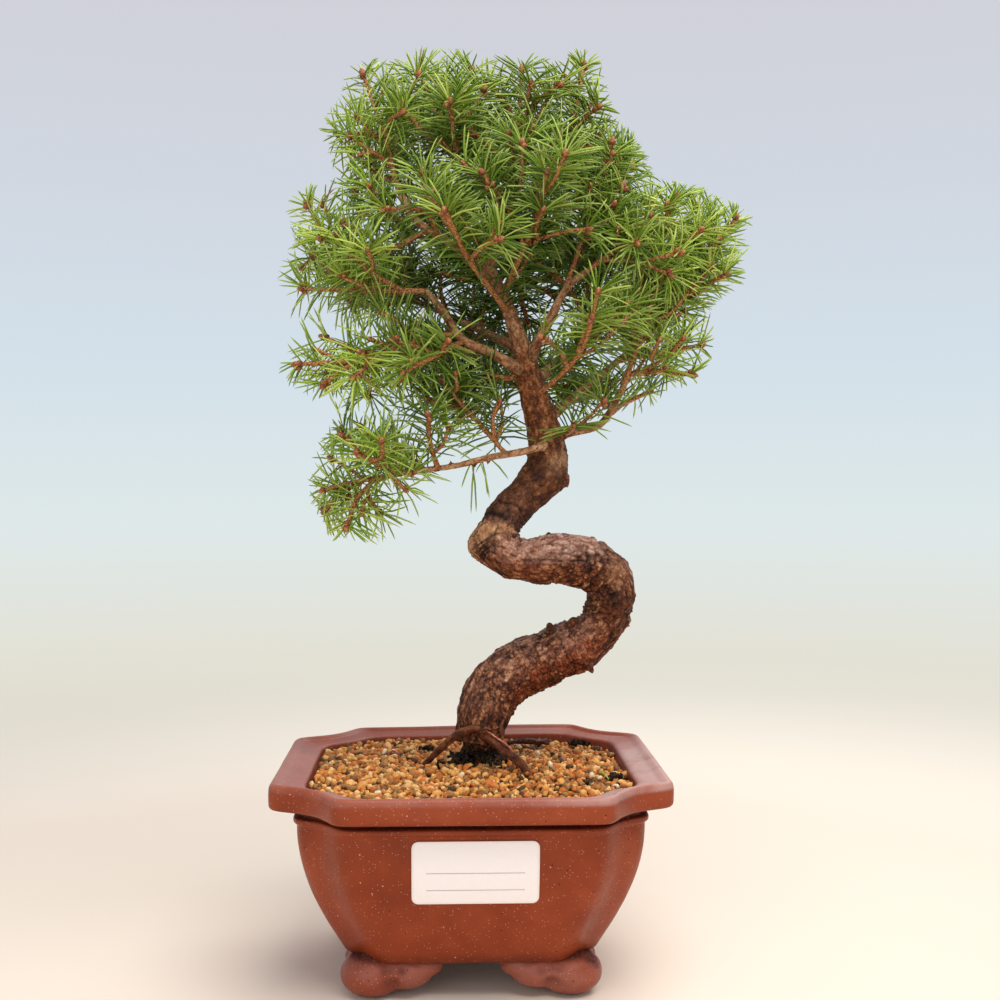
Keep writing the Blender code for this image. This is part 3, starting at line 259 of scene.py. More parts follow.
# Leafy shoots: what they grow from, the points that the main shoot runs through, and its side shoots,
# each as how far up the main shoot it starts and where it ends
SPRAYS = {
    "low_left_end": (
        "low_left", [(-37, -15, 208), (-50, -17, 206), (-61, -17, 203)],
        [(0.15, (-51, -29, 188)), (0.35, (-62, -4, 194)), (0.25, (-38, -20, 193))],
    ),
    "low_left_front": (
        "low_left", [(-30, -14, 210), (-38, -27, 213), (-46, -40, 218)],
        [(0.3, (-27, -37, 203))],
    ),
    "low_left_top": ("low_left", [(-28, -13, 211), (-41, -5, 218), (-55, 0, 227)], []),
    "low_left_mid": ("low_left", [(-14, -12, 213), (-17, -20, 222), (-18, -28, 233)], []),
    "low_left_rise": (
        "low_left", [(15, -5, 218), (7, -2, 228), (-2, 3, 237), (-18, 8, 242)],
        [(0.45, (-12, -12, 249)), (0.2, (12, -12, 240))],
    ),
    "low_left_back": ("low_left", [(-15, -12, 213), (-27, 2, 211), (-41, 12, 208)], []),
    "mid_left_end": (
        "mid_left", [(-19, -18, 286), (-38, -18, 286), (-70, -15, 287)],
        [(0.2, (-49, -36, 299)), (0.45, (-52, -2, 284))],
    ),
    "mid_left_low": (
        "mid_left", [(-6, -14, 269), (-17, -19, 266), (-30, -24, 262), (-48, -29, 256), (-71, -31, 254)],
        [(0.4, (-47, -44, 248)), (0.45, (-43, -12, 243)), (0.55, (-60, -14, 252)), (0.6, (-60, -30, 246))],
    ),
    "mid_left_under": (
        "mid_left", [(-3, -12, 266), (-13, -28, 259), (-27, -44, 250)],
        [(0.4, (-10, -46, 262))],
    ),
    "thin_left": ("trunk", [(21, 1, 251), (4, 4, 251), (-14, 8, 249)], [(0.5, (-6, 20, 240))]),
    "far_left": (
        "top_left", [(-18, -7, 314), (-34, -8, 305), (-50, -8, 303), (-61, -9, 311), (-69, -9, 323)],
        [(0.62, (-72, 3, 299)), (0.55, (-62, -26, 306))],
    ),
    "left_out": ("top_left", [(-24, -8, 318), (-36, -1, 319), (-47, 2, 322)], [(0.35, (-42, -22, 328))]),
    "top_left_end": (
        "top_left", [(-32, -8, 334), (-36, -6, 351), (-46, -4, 380)],
        [(0.15, (-46, -16, 343)), (0.35, (-57, 6, 357)), (0.4, (-29, -26, 358))],
    ),
    "top_left_front": (
        "top_left", [(-14, -6, 311), (-18, -24, 320), (-20, -40, 330)],
        [(0.4, (-35, -36, 316))],
    ),
    "leader_left": (
        "trunk", [(15, 0, 322), (4, -5, 334), (-8, -8, 346), (-15, -8, 362), (-22, -6, 381)],
        [(0.55, (0, -2, 383)), (0.4, (-9, -31, 361)), (0.45, (-30, 10, 365))],
    ),
    "leader_end": (
        "trunk", [(20, -1, 350), (21, -2, 366), (22, -3, 383)],
        [(0.25, (8, 2, 378)), (0.3, (37, -12, 374))],
    ),
    "leader_front": ("trunk", [(16, 0, 328), (22, -16, 337), (25, -32, 350)], [(0.3, (1, -18, 352))]),
    "front_left": (
        "trunk", [(17, 0, 279), (8, -18, 287), (-2, -38, 297), (-11, -60, 311)],
        [(0.55, (-18, -50, 321)), (0.6, (10, -62, 300))],
    ),
    "front_mid": (
        "trunk", [(14, 0, 287), (20, -18, 300), (26, -36, 314), (29, -52, 328)],
        [(0.45, (4, -46, 329)), (0.45, (46, -42, 308))],
    ),
    "front_right": (
        "trunk", [(28, 3, 243), (38, -16, 252), (45, -32, 261), (47, -52, 271)],
        [(0.45, (62, -38, 278)), (0.45, (28, -44, 264))],
    ),
    "right_front_end": (
        "right_front", [(50, -15, 296), (60, -18, 304), (73, -28, 316)],
        [(0.2, (82, -24, 293)), (0.35, (66, -44, 302))],
    ),
    "right_front_up": (
        "right_front", [(40, -10, 287), (46, -14, 306), (51, -20, 325), (57, -32, 345)],
        [(0.45, (36, -34, 339)), (0.5, (67, -17, 339))],
    ),
    "leader_right_end": (
        "leader_right", [(36, 6, 342), (44, 5, 360), (49, 3, 387)],
        [(0.3, (54, -8, 366)), (0.35, (57, 10, 352))],
    ),
    "leader_right_low": (
        "leader_right", [(24, 3, 328), (42, 4, 335), (55, 0, 340), (67, -5, 346)],
        [(0.5, (60, 18, 344))],
    ),
    "right_low_end": (
        "right_low", [(69, -1, 253), (81, -6, 254), (94, -12, 252)],
        [(0.2, (88, -22, 266))],
    ),
    "right_low_up": (
        "right_low", [(65, -1, 245), (71, -5, 263), (75, -10, 277), (80, -14, 291)],
        [(0.45, (92, -2, 280))],
    ),
    "right_low_tuft": ("right_low", [(42, 4, 228), (43, -6, 228.5), (43.5, -14, 230)], []),
    "right_low_back": ("right_low", [(59, 1, 235), (68, 14, 241), (81, 23, 247)], []),
    "right_long_end": (
        "right_long", [(79, 13, 272), (93, 9, 286), (104, 4, 302), (114, -4, 320)],
        [(0.2, (108, -12, 295)), (0.5, (100, 8, 327))],
    ),
    "right_long_low": (
        "right_long", [(66, 14, 260), (84, 14, 264), (102, 12, 267)],
        [(0.35, (90, 30, 258))],
    ),
    "right_long_up": (
        "right_long", [(70, 13, 264), (78, 9, 284), (82, 2, 304), (88, -8, 328)],
        [(0.5, (95, -25, 311)), (0.5, (80, 20, 330))],
    ),
    "back_low_end": (
        "back_low", [(29, 36, 247), (22, 52, 252), (12, 70, 258)],
        [(0.3, (36, 70, 262)), (0.35, (19, 46, 273))],
    ),
    "back_low_right": ("back_low", [(34, 21, 238), (48, 36, 243), (60, 54, 250)], []),
    "back_left_end": (
        "back_left", [(-8, 27, 281), (-24, 34, 288), (-38, 40, 294), (-52, 44, 304)],
        [(0.4, (-42, 60, 290)), (0.55, (-58, 27, 297)), (0.04, (-12, 24, 306)), (0.2, (-30, 20, 304))],
    ),
    "back_left_low": (
        "back_left", [(6, 17, 273), (-6, 36, 268), (-14, 54, 272)],
        [(0.35, (-26, 28, 262)), (0.05, (8, 30, 289)), (0.15, (-4, 27, 285))],
    ),
    "back_right_end": (
        "back_right", [(56, 32, 275), (70, 40, 284), (84, 46, 294), (98, 48, 304)],
        [(0.4, (82, 66, 290)), (0.5, (94, 30, 313))],
    ),
    "back_right_up": (
        "back_right", [(50, 27, 270), (58, 34, 292), (62, 38, 312), (66, 40, 330)],
        [(0.45, (76, 54, 318)), (0.45, (47, 52, 314)), (0.15, (38, 20, 300))],
    ),
    "back_mid_end": (
        "back_mid", [(19, 32, 298), (22, 46, 308), (28, 60, 318), (34, 74, 328)],
        [
            (0.3, (6, 66, 311)), (0.4, (52, 66, 308)), (0.45, (16, 62, 334)), (0.05, (38, 24, 290)),
            (0.1, (27, 36, 280)), (0.0, (5, 38, 284)), (0.02, (22, 30, 294)),
        ],
    ),
    "back_mid_left": (
        "back_mid", [(16, 18, 289), (4, 34, 304), (-8, 46, 318), (-18, 54, 332)],
        [(0.45, (-30, 38, 322)), (0.2, (-16, 22, 300))],
    ),
    "back_top": (
        "trunk", [(17, 0, 333), (12, 16, 343), (8, 30, 354), (6, 42, 370)],
        [(0.45, (-12, 34, 362)), (0.45, (28, 38, 364))],
    ),
    "back_top_left": (
        "top_left", [(-29, -8, 328), (-32, 8, 337), (-34, 20, 345), (-38, 32, 356)],
        [(0.4, (-51, 22, 336))],
    ),
    "back_top_right": (
        "leader_right", [(32, 5, 337), (40, 20, 345), (45, 34, 353), (50, 44, 367)],
        [(0.4, (62, 42, 346))],
    ),
    "back_under": (
        "mid_left", [(4, -10, 263), (-10, 4, 261), (-25, 15, 262), (-40, 22, 267)],
        [(0.45, (-32, 30, 251))],
    ),
}

NEEDLE_LENGTH = 15.4
NEEDLES_PER_MM = 1.45
NEEDLE_HALF_WIDTH = 0.43
NEEDLE_SIDES = 3
NEEDLE_STATIONS = ((0.0, 0.72), (0.42, 1.0), (0.84, 0.84))
GOLDEN_TURN = math.pi * (3 - math.sqrt(5))
# How strongly the needles that face out of the crown are combed round to the shoot's flanks
COMBED = 0.8
# Stems: radius at the root and at the tip, and how far up the needles start
MAIN_STEM = (1.3, 0.9, 5.5)
SIDE_STEM = (1.05, 0.8, 3.5)
TWIG_STEM = (0.85, 0.68, 2.2)
# Twigs: how far they keep from the shoot's root and tip, how far apart they stand, and how long they are
FIRST_TWIG = 9.0
LAST_TWIG = 7.0
TWIG_SPACING = 12.5
TWIG_LENGTHS = (13.0, 24.0)
CROWN_MIDDLE = np.array([18.0, 2.0, 292.0])
CROWN_REACH = np.array([95.0, 75.0, 95.0])
# How far the needles' tips reach from the crown's middle as the camera sees them, every 5 degrees
# round from EDGE_FROM, counted anticlockwise from the right
EDGE_FROM = -45.0
CROWN_EDGE = [
    84, 80, 80, 88, 91, 91, 90, 87, 89, 101, 102, 106, 108, 104, 96, 90, 77, 80, 81, 84,
    85, 86, 98, 107, 105, 97, 99, 95, 98, 103, 104, 109, 110, 109, 118, 112, 108, 107, 98, 87,
    98, 102, 99, 95, 100, 101, 95, 95, 99, 106, 105, 100, 87, 109, 124, 130, 134, 128, 124,
]
NO_EDGE = 200.0
# Where the crown lets the light through, as the camera sees it: across, up, how wide, how high, and the
# share of needles left out
CROWN_GAPS = [
    (-60, 269, 12, 9, 0.9), (-43, 268, 10, 9, 0.75), (-78, 268, 10, 9, 0.8), (-60, 320, 9, 9, 0.6),
    (-60, 337, 9, 9, 0.65), (78, 337, 9, 9, 0.55), (-60, 234, 12, 9, 0.8), (-60, 216, 9, 7, 0.55),
    (-44, 234, 9, 8, 0.65), (-26, 198, 12, 8, 0.75), (78, 262, 9, 12, 0.6), (95, 268, 8, 8, 0.55),
    (60, 236, 10, 8, 0.5), (-43, 354, 8, 8, 0.4), (60, 354, 8, 8, 0.35),
]
TWIG_ROOM = 12.0
SHORTEST_TWIG = 8.0
# How far twig tips, needle tips and needle middles keep from the bare wood, as the camera sees them
TWIG_CLEAR = 15.0
TIP_CLEAR = 5.0
MIDDLE_CLEAR = 4.0
# Between these heights the trunk stays bare in the crown, and so do these branches
BARE_TRUNK = (232.0, 298.0)
BARE_BRANCHES = ("mid_left", "right_front", "top_left")
# Long needles that hang from the low branch: where each starts and ends
DROOPING = [
    ((1.6, -9, 214.8), (-1.0, -11, 191.4)), ((0.6, -9.6, 214.6), (5.0, -13, 192.2)),
    ((4.0, -9, 215.2), (11.4, -14, 199.6)), ((8.6, -7.6, 216.2), (18.2, -10, 208.8)),
    ((0.2, -9.8, 214.4), (-5.0, -13, 203.8)), ((5.0, -8.4, 215.4), (9.0, -14, 200.4)),
]
DROOPING_FROM = "low_left_rise"
DROOPING_BENDS = (0.1, 0.16, 0.24, 0.2, 0.12, 0.2)
STEM_SIDES = 7
# A bud's scales: how far along it, and how wide it is there
BUD_PROFILE = np.array([
    (0.0, 0.6), (0.14, 0.95), (0.22, 0.84), (0.36, 1.0), (0.46, 0.86), (0.6, 0.8), (0.7, 0.62), (0.86, 0.4),
])

# Flecked finishes: roughness, specular level, size and contrast of the flecks, colours along their share, and
# the depth and strength of their relief
FLECKED = {
    "twig brown": (
        0.65, 0.3, 0.75, 3.2, ((0.0, 88, 44, 20), (0.45, 160, 100, 54), (1.0, 210, 154, 98)), 0.3, 1.0,
    ),
    "dark soil": (0.95, 0.2, 1.1, 3.0, ((0.0, 16, 11, 8), (0.6, 40, 28, 18), (1.0, 96, 70, 42)), 0.8, 1.0),
    "black plastic mesh": (0.5, 0.5, 0.7, 1.6, ((0.0, 16, 16, 16), (1.0, 44, 43, 42)), 0.05, 0.5),
}

# Studio: the sweep's profile, as distance and height, its shades from the floor up, and the lights, each
# with its place, what it aims at, size, power and colour
SWEEP_NEAR = (60, 150, 260, 380, 500, 620, 750)
SWEEP_RISE = [(850, 0, 0), (1000, 0, 30), (1300, 0, 160), (1580, 0, 500), (1680, 0, 1000), (1700, 0, 2400)]
SWEEP_SIDES = 48
# The floor is lighter near the pot: painted light against the pot's shadow.
SWEEP_SHADES = [
    (0.0, 243, 226, 208), (0.13, 224, 210, 195), (0.227, 226, 224, 212), (0.307, 222, 232, 232),
    (0.413, 211, 224, 233), (0.533, 208, 214, 224), (0.667, 208, 208, 216), (0.74, 150, 150, 158),
    (1.0, 96, 96, 104),
]
# How high the whole picture is at one unit away, and how many picture heights the shades cover
PICTURE_SLOPE = 0.72
SHADES_REACH = 1.5
# The camera's height and distance, rounded, and the shares of the rise between which the floor turns into
# the glowing wall
EYE_HEIGHT = 204.0
EYE_AWAY = 604.0
WALL_FROM = (0.14, 0.24)
BLACK = (0.0, 0.0, 0.0, 1.0)
AIR_COLOUR = (226, 232, 240)
AIR_STRENGTH = 1.1
LIGHTS = {
    "key_light": ((200, -360, 940), (10, 0, 180), 800, 8.0, (1.0, 0.98, 0.94)),
    "fill_light": ((-340, -760, 170), (0, 0, 70), 900, 2.0, (1.0, 0.98, 0.97)),
    "back_light": ((300, 600, 760), (0, 0, 200), 800, 4.3, (1.0, 0.98, 0.95)),
}


# Making: meshes


def add_piece(name, points, triangles, finishes, slot=None, nodes=(), masks=None, finish_of=None, sharp=None):
    """A mesh from arrays in millimetres, with one number or vector per point for each mask."""
    points = np.asarray(points, np.float64) * MM + POT_MIDDLE
    triangles = np.asarray(triangles, np.int32)
    mesh = bpy.data.meshes.new(name)
    mesh.vertices.add(len(points))
    mesh.vertices.foreach_set("co", points.astype(np.float32).ravel())
    mesh.loops.add(triangles.size)
    mesh.loops.foreach_set("vertex_index", triangles.ravel())
    mesh.polygons.add(len(triangles))
    mesh.polygons.foreach_set("loop_start", np.arange(0, triangles.size, 3, dtype=np.int32))
    mesh.polygons.foreach_set("loop_total", np.full(len(triangles), 3, np.int32))
    if finish_of is not None:
        mesh.polygons.foreach_set("material_index", np.asarray(finish_of, np.int32))
    mesh.update(calc_edges=True)
    mesh.validate()
    for mask, values in (masks or {}).items():
        put_mask(mesh, mask, values)
    mesh.shade_smooth()
    if sharp:
        mesh.set_sharp_from_angle(angle=math.radians(sharp))
    for finish in finishes:
        mesh.materials.append(finish)
    piece = bpy.data.objects.new(name, mesh)
    bpy.context.scene.collection.objects.link(piece)
    if slot:
        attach(piece, "root")
    if nodes:
        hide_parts(*nodes)
    return piece


def put_mask(mesh, mask, values):
    """One number or vector for each point, kept in the mesh under the mask's name."""
    values = np.asarray(values, np.float32)
    kind, field = ("FLOAT_VECTOR", "vector") if values.ndim == 2 else ("FLOAT", "value")
    mesh.attributes.new(mask, kind, "POINT").data.foreach_set(field, values.ravel())


class Heap:
    """Meshes of one piece, gathered before they become one object."""

    def __init__(self, *masks):
        self.points, self.triangles, self.finish = [], [], []
        self.masks = {mask: [] for mask in masks}
        self.count = 0

    def add(self, points, triangles, finish=0, **masks):
        self.points.append(points)
        self.triangles.append(np.asarray(triangles) + self.count)
        self.finish.append(np.full(len(triangles), finish))
        for mask, rows in self.masks.items():
            rows.append(np.broadcast_to(np.asarray(masks.get(mask, 0.0), float), len(points)))
        self.count += len(points)

    def lay(self, name, finishes, slot, nodes):
        return add_piece(
            name, np.vstack(self.points), np.vstack(self.triangles), finishes, slot, nodes,
            {mask: np.concatenate(rows) for mask, rows in self.masks.items()}, np.concatenate(self.finish),
        )


def unit(vectors):
    """The same directions with length 1, for rows of vectors."""
    return vectors / np.maximum(np.linalg.norm(vectors, axis=-1), 1e-6)[..., None]


def across(vectors, axis):
    """The directions of rows of vectors once their share along the axis is taken out."""
    return unit(vectors - axis * (vectors * axis).sum(1)[:, None])


def near(places, spot, reach, power=2, stretch=1.0):
    """1 at the spot, falling to 0 beyond its reach; a higher power gives a harder edge."""
    return np.exp(-((np.linalg.norm((places - np.array(spot)) * stretch, axis=1) / reach) ** power))


def run_of(path):
    """How far along a path each of its points is."""
    return np.concatenate([[0], np.cumsum(np.linalg.norm(np.diff(path, axis=0), axis=1))])


def sampled(rows, along, wanted):
    """Rows that belong to places along a run, read off at other places."""
    return np.stack([np.interp(wanted, along, column) for column in rows.T], -1)


def smooth_path(points, step):
    """Evenly spaced points along a Catmull-Rom curve through the given points (any number of columns)."""
    points = np.array(points, float)
    padded = np.vstack([2 * points[0] - points[1], points, 2 * points[-1] - points[-2]])
    t = np.linspace(0, 1, 12, endpoint=False)[:, None]
    dense = []
    for i in range(1, len(padded) - 2):
        a, b, c, d = padded[i - 1 : i + 3]
        curved = (2 * a - 5 * b + 4 * c - d) * t**2 + (3 * b - a - 3 * c + d) * t**3
        dense.append(0.5 * (2 * b + (c - a) * t + curved))
    dense = np.vstack(dense + [points[-1:]])
    along = run_of(dense[:, :3])
    count = max(2, round(along[-1] / step) + 1)
    return sampled(dense, along, np.linspace(0, along[-1], count))


def frames(path):
    """Axis, side and up directions along a path, turned as little as possible from point to point."""
    axis = unit(np.gradient(path, axis=0))
    side = np.cross(axis[0], (0.3, 1.0, 0.2))
    sides = []
    for direction in axis:
        side = side - direction * (side @ direction)
        side /= np.linalg.norm(side)
        sides.append(side)
    sides = np.array(sides)
    return axis, sides, np.cross(axis, sides)


def grid_triangles(rows, columns, closed_rows=False):
    """Triangles over rows of points, each row a closed ring; closed_rows joins the last row to the first."""
    last = rows if closed_rows else rows - 1
    i, j = np.meshgrid(np.arange(last), np.arange(columns), indexing="ij")
    k, n = (j + 1) % columns, (i + 1) % rows
    a, b, c, d = i * columns + j, i * columns + k, n * columns + k, n * columns + j
    return np.concatenate([np.stack([a, b, c], -1), np.stack([a, c, d], -1)]).reshape(-1, 3)


def round_turns(count):
    """Even turns round a circle, in radians."""
    return np.arange(count) * 2 * math.pi / count


def fan(middle, ring, inward=False):
    """Triangles from a middle point to each side of a closed ring of points."""
    after = np.roll(ring, -1)
    first, second = (after, ring) if inward else (ring, after)
    return np.stack([np.full(len(ring), middle), first, second], -1)


def tube(path, radii, sides):
    """Points and triangles of a closed round tube whose far end comes to a point."""
    axis, side, up = frames(path)
    turn = round_turns(sides)[None, :, None]
    radii = np.asarray(radii, float)[:, None, None]
    around = np.cos(turn) * side[:, None] + np.sin(turn) * up[:, None]
    points = (path[:, None] + around * radii).reshape(-1, 3)
    return capped(points, len(path), sides, path[0], path[-1] + axis[-1] * (radii[-1, 0, 0] * 0.8))


def capped(points, rows, columns, low, high):
    """Closed rings of points with a middle point for each end: all points and triangles."""
    ring = np.arange(columns)
    caps = [fan(len(points), ring, True), fan(len(points) + 1, (rows - 1) * columns + ring)]
    return np.vstack([points, low, high]), np.vstack([grid_triangles(rows, columns)] + caps)


def hashed(cell, seed):
    """A repeatable number from 0 to 1 for each whole-number cell."""
    x, y, z = (cell[..., i].astype(np.int64) for i in range(3))
    mixed = (x * 73856093) ^ (y * 19349663) ^ (z * 83492791) ^ (seed * 2654435761)
    mixed = (mixed ^ (mixed >> 13)) * 1274126177 & 0xFFFFFFFF
    mixed = (mixed ^ (mixed >> 15)) * 2246822519 & 0xFFFFFFFF
    return ((mixed ^ (mixed >> 16)) & 0xFFFFFF) / 0xFFFFFF


def soft_noise(places, size, seed):
    """Smooth noise from -1 to 1 with lumps of about the given size."""
    scaled = np.asarray(places) / size
    cell = np.floor(scaled)
    part = scaled - cell
    part = part * part * (3 - 2 * part)
    total = np.zeros(len(scaled))
    for corner in np.ndindex(2, 2, 2):
        weight = np.prod(np.where(corner, part, 1 - part), axis=1)
        total += weight * hashed(cell + corner, seed)
    return 2 * total - 1


def scale_pattern(places, seed):
    """Bark scales of unit size: how far each place is from the crack round its scale, and its number."""
    cell = np.floor(places)
    nearest = np.full(len(places), 9.0)
    second = np.full(len(places), 9.0)
    own = np.zeros(len(places))
    for shift in np.ndindex(3, 3, 3):
        neighbour = cell + np.array(shift) - 1
        centre = neighbour + 0.15 + 0.7 * np.stack([hashed(neighbour, seed + k) for k in range(3)], -1)
        away = np.linalg.norm(places - centre, axis=1)
        closer = away < nearest
        second = np.where(closer, nearest, np.minimum(second, away))
        own = np.where(closer, hashed(neighbour, seed + 7), own)
        nearest = np.minimum(nearest, away)
    return second - nearest, own


def ramped(values, low, high):
    """Smooth step from 0 at low to 1 at high."""
    share = np.clip((values - low) / (high - low), 0, 1)
    return share * share * (3 - 2 * share)


def remeshed(points, triangles, cell, smoothing=0):
    """One closed skin round overlapping meshes, in millimetres, as points, triangles and normals."""
    mesh = bpy.data.meshes.new("raw")
    mesh.from_pydata(np.asarray(points).tolist(), [], np.asarray(triangles).tolist())
    raw = bpy.data.objects.new("raw", mesh)
    bpy.context.scene.collection.objects.link(raw)
    skin = raw.modifiers.new("skin", "REMESH")
    skin.mode = "VOXEL"
    skin.voxel_size = cell
    if smoothing:
        relax = raw.modifiers.new("relax", "SMOOTH")
        relax.factor = 0.5
        relax.iterations = smoothing
    made = bpy.data.meshes.new_from_object(raw.evaluated_get(bpy.context.evaluated_depsgraph_get()))
    made.calc_loop_triangles()

    def read(rows, name, kind):
        values = np.empty(len(rows) * 3, kind)
        rows.foreach_get(name, values)
        return values.reshape(-1, 3)

    places = read(made.vertices, "co", np.float32).astype(float)
    facing = read(made.vertices, "normal", np.float32).astype(float)
    corners = read(made.loop_triangles, "vertices", np.int32)
    bpy.data.objects.remove(raw, do_unlink=True)
    bpy.data.meshes.remove(mesh)
    bpy.data.meshes.remove(made)
    return places, corners, facing


# Making: finishes


def tint(red, green, blue):
    """A colour given as it looks on a screen, from 0 to 255, as the linear values that a shader takes."""
    def linear(v):
        v /= 255
        return v / 12.92 if v <= 0.04045 else ((v + 0.055) / 1.055) ** 2.4
    return (linear(red), linear(green), linear(blue), 1.0)


def put(tree, kind, inputs=None, **settings):
    """A node with its settings made; an input that is given an output is joined to it."""
    made = tree.nodes.new(kind)
    for name, value in settings.items():
        setattr(made, name, value)
    for name, value in (inputs or {}).items():
        socket = made.inputs[name]
        if isinstance(value, bpy.types.NodeSocket):
            tree.links.new(value, socket)
        else:
            socket.default_value = value
    return made


def blend(tree, share, first, second):
    """A mix of two colours, of which share is the second's part."""
    return put(tree, "ShaderNodeMix", {0: share, 6: first, 7: second}, data_type="RGBA").outputs[2]


def reckon(tree, way, first, second, clamped=True):
    """Two values reckoned into one, kept from 0 to 1 where clamped."""
    return put(tree, "ShaderNodeMath", {0: first, 1: second}, operation=way, use_clamp=clamped).outputs[0]


def times(tree, first, second):
    return reckon(tree, "MULTIPLY", first, second)


def plus(tree, first, second):
    return reckon(tree, "ADD", first, second)


def moved(tree, way, place, by):
    """A place vector reckoned with another vector."""
    return put(tree, "ShaderNodeVectorMath", {0: place, 1: by}, operation=way).outputs[0]


def colours(tree, share, *stops, steps=False):
    """Colours along a share from 0 to 1, each stop a place and a colour as tint takes it."""
    made = put(tree, "ShaderNodeValToRGB", {"Fac": share})
    ramp = made.color_ramp
    if steps:
        ramp.interpolation = "CONSTANT"
    while len(ramp.elements) < len(stops):
        ramp.elements.new(1.0)
    for element, (place, *colour) in zip(ramp.elements, stops):
        element.position = place
        element.color = tint(*colour)
    return made.outputs["Color"]


def between(tree, value, low, high):
    """Smooth step from 0 at low to 1 at high."""
    inputs = {"Value": value, "From Min": low, "From Max": high}
    return put(tree, "ShaderNodeMapRange", inputs, interpolation_type="SMOOTHSTEP").outputs["Result"]


def mask_of(tree, name):
    return put(tree, "ShaderNodeAttribute", attribute_name=name).outputs["Fac"]


def vector_of(tree, name):
    return put(tree, "ShaderNodeAttribute", attribute_name=name).outputs["Vector"]


def place_mm(tree):
    """Where a point of the object is, in millimetres."""
    place = put(tree, "ShaderNodeTexCoord").outputs["Object"]
    scaled = put(tree, "ShaderNodeVectorMath", {0: place, "Scale": 1000.0}, operation="SCALE")
    return scaled.outputs["Vector"]


def group(name, inputs, outputs):
    """A shared effect with named inputs after Place, named outputs, and Place measured in the first input."""
    made = bpy.data.node_groups.new(name, "ShaderNodeTree")
    made.interface.new_socket("Place", in_out="INPUT", socket_type="NodeSocketVector")
    for label, value in inputs.items():
        made.interface.new_socket(label, in_out="INPUT", socket_type="NodeSocketFloat").default_value = value
    for label in outputs:
        made.interface.new_socket(label, in_out="OUTPUT", socket_type="NodeSocketFloat")
    given = made.nodes.new("NodeGroupInput").outputs
    scaled = moved(made, "DIVIDE", given["Place"], given[next(iter(inputs))])
    return made, given, made.nodes.new("NodeGroupOutput").inputs, scaled


def effect_of(tree, effect, place, **values):
    """Places a shared effect and returns its outputs by name."""
    return put(tree, "ShaderNodeGroup", {"Place": place, **values}, node_tree=effect).outputs


def share_of(tree, effect, place, **values):
    """Places a shared effect and returns its share alone."""
    return effect_of(tree, effect, place, **values)["Share"]


def make_fleck_effect():
    """Flecks: noise of one size with hard contrast, and the fine relief that goes with it."""
    effect, given, out, place = group("flecks", {"Size": 1.0, "Contrast": 2.0}, ("Share", "Relief"))
    noise = {"Vector": place, "Scale": 1.0, "Detail": 2.0, "Roughness": 0.7}
    grain = put(effect, "ShaderNodeTexNoise", noise).outputs["Fac"]
    centred = reckon(effect, "SUBTRACT", grain, 0.5, False)
    raised = reckon(effect, "MULTIPLY", centred, given["Contrast"], False)
    effect.links.new(plus(effect, raised, 0.5), out["Share"])
    effect.links.new(grain, out["Relief"])
    return effect


def make_speck_effect():
    """Specks: scattered round dots, of which Chance is the share of places that have one."""
    effect, given, out, place = group("specks", {"Spacing": 3.0, "Radius": 0.2, "Chance": 0.3}, ("Share",))
    dots = put(effect, "ShaderNodeTexVoronoi", {"Vector": place, "Scale": 1.0}).outputs
    reach = reckon(effect, "DIVIDE", given["Radius"], given["Spacing"], False)
    within = reckon(effect, "LESS_THAN", dots["Distance"], reach)
    drawn = put(effect, "ShaderNodeSeparateColor", {0: dots["Color"]}).outputs[0]
    there = reckon(effect, "LESS_THAN", drawn, given["Chance"])
    effect.links.new(times(effect, within, there), out["Share"])
    return effect


def make_scale_effect():
    """Scales: small ragged flakes that each have their own Tone, and the Gap round them."""
    effect, _, out, place = group("scales", {"Spacing": 2.0}, ("Tone", "Gap"))
    rough = put(effect, "ShaderNodeTexNoise", {"Vector": place, "Scale": 1.8, "Detail": 2.0}).outputs["Fac"]
    ragged = moved(effect, "ADD", place, reckon(effect, "MULTIPLY", rough, 0.6, False))
    cells = put(effect, "ShaderNodeTexVoronoi", {"Vector": ragged, "Scale": 1.0}).outputs
    effect.links.new(put(effect, "ShaderNodeSeparateColor", {0: cells["Color"]}).outputs[0], out["Tone"])
    effect.links.new(between(effect, cells["Distance"], 0.42, 0.72), out["Gap"])
    return effect


def make_stain_effect():
    """Stains: broad uneven patches with soft edges."""
    effect, given, out, place = group("stains", {"Size": 12.0, "Low": 0.4, "High": 0.62}, ("Share",))
    noise = {"Vector": place, "Scale": 1.0, "Detail": 4.0, "Roughness": 0.55, "Distortion": 0.6}
    cloud = put(effect, "ShaderNodeTexNoise", noise).outputs["Fac"]
    effect.links.new(between(effect, cloud, given["Low"], given["High"]), out["Share"])
    return effect


def new_finish(name, roughness=0.5, **constants):
    """A material, its node tree and its shader, with the values that don't change over the surface."""
    finish = bpy.data.materials.new(name)
    finish.use_nodes = True
    tree = finish.node_tree
    shader = tree.nodes["Principled BSDF"]
    shader.inputs["Roughness"].default_value = roughness
    for label, value in constants.items():
        shader.inputs[label.replace("_", " ")].default_value = value
    return finish, tree, shader


def join_finish(tree, shader, colour, rough, relief, depth_mm, strength):
    """Joins colour, roughness (where it varies) and relief to the shader."""
    tree.links.new(colour, shader.inputs["Base Color"])
    if rough is not None:
        tree.links.new(rough, shader.inputs["Roughness"])
    bump = put(tree, "ShaderNodeBump", {"Height": relief, "Strength": strength, "Distance": depth_mm * MM})
    tree.links.new(bump.outputs["Normal"], shader.inputs["Normal"])


def stretched(tree, place, *by):
    return moved(tree, "MULTIPLY", place, by)


def plain_noise(tree, scale, detail):
    noise = {"Vector": place_mm(tree), "Scale": scale, "Detail": detail}
    return put(tree, "ShaderNodeTexNoise", noise).outputs["Fac"]


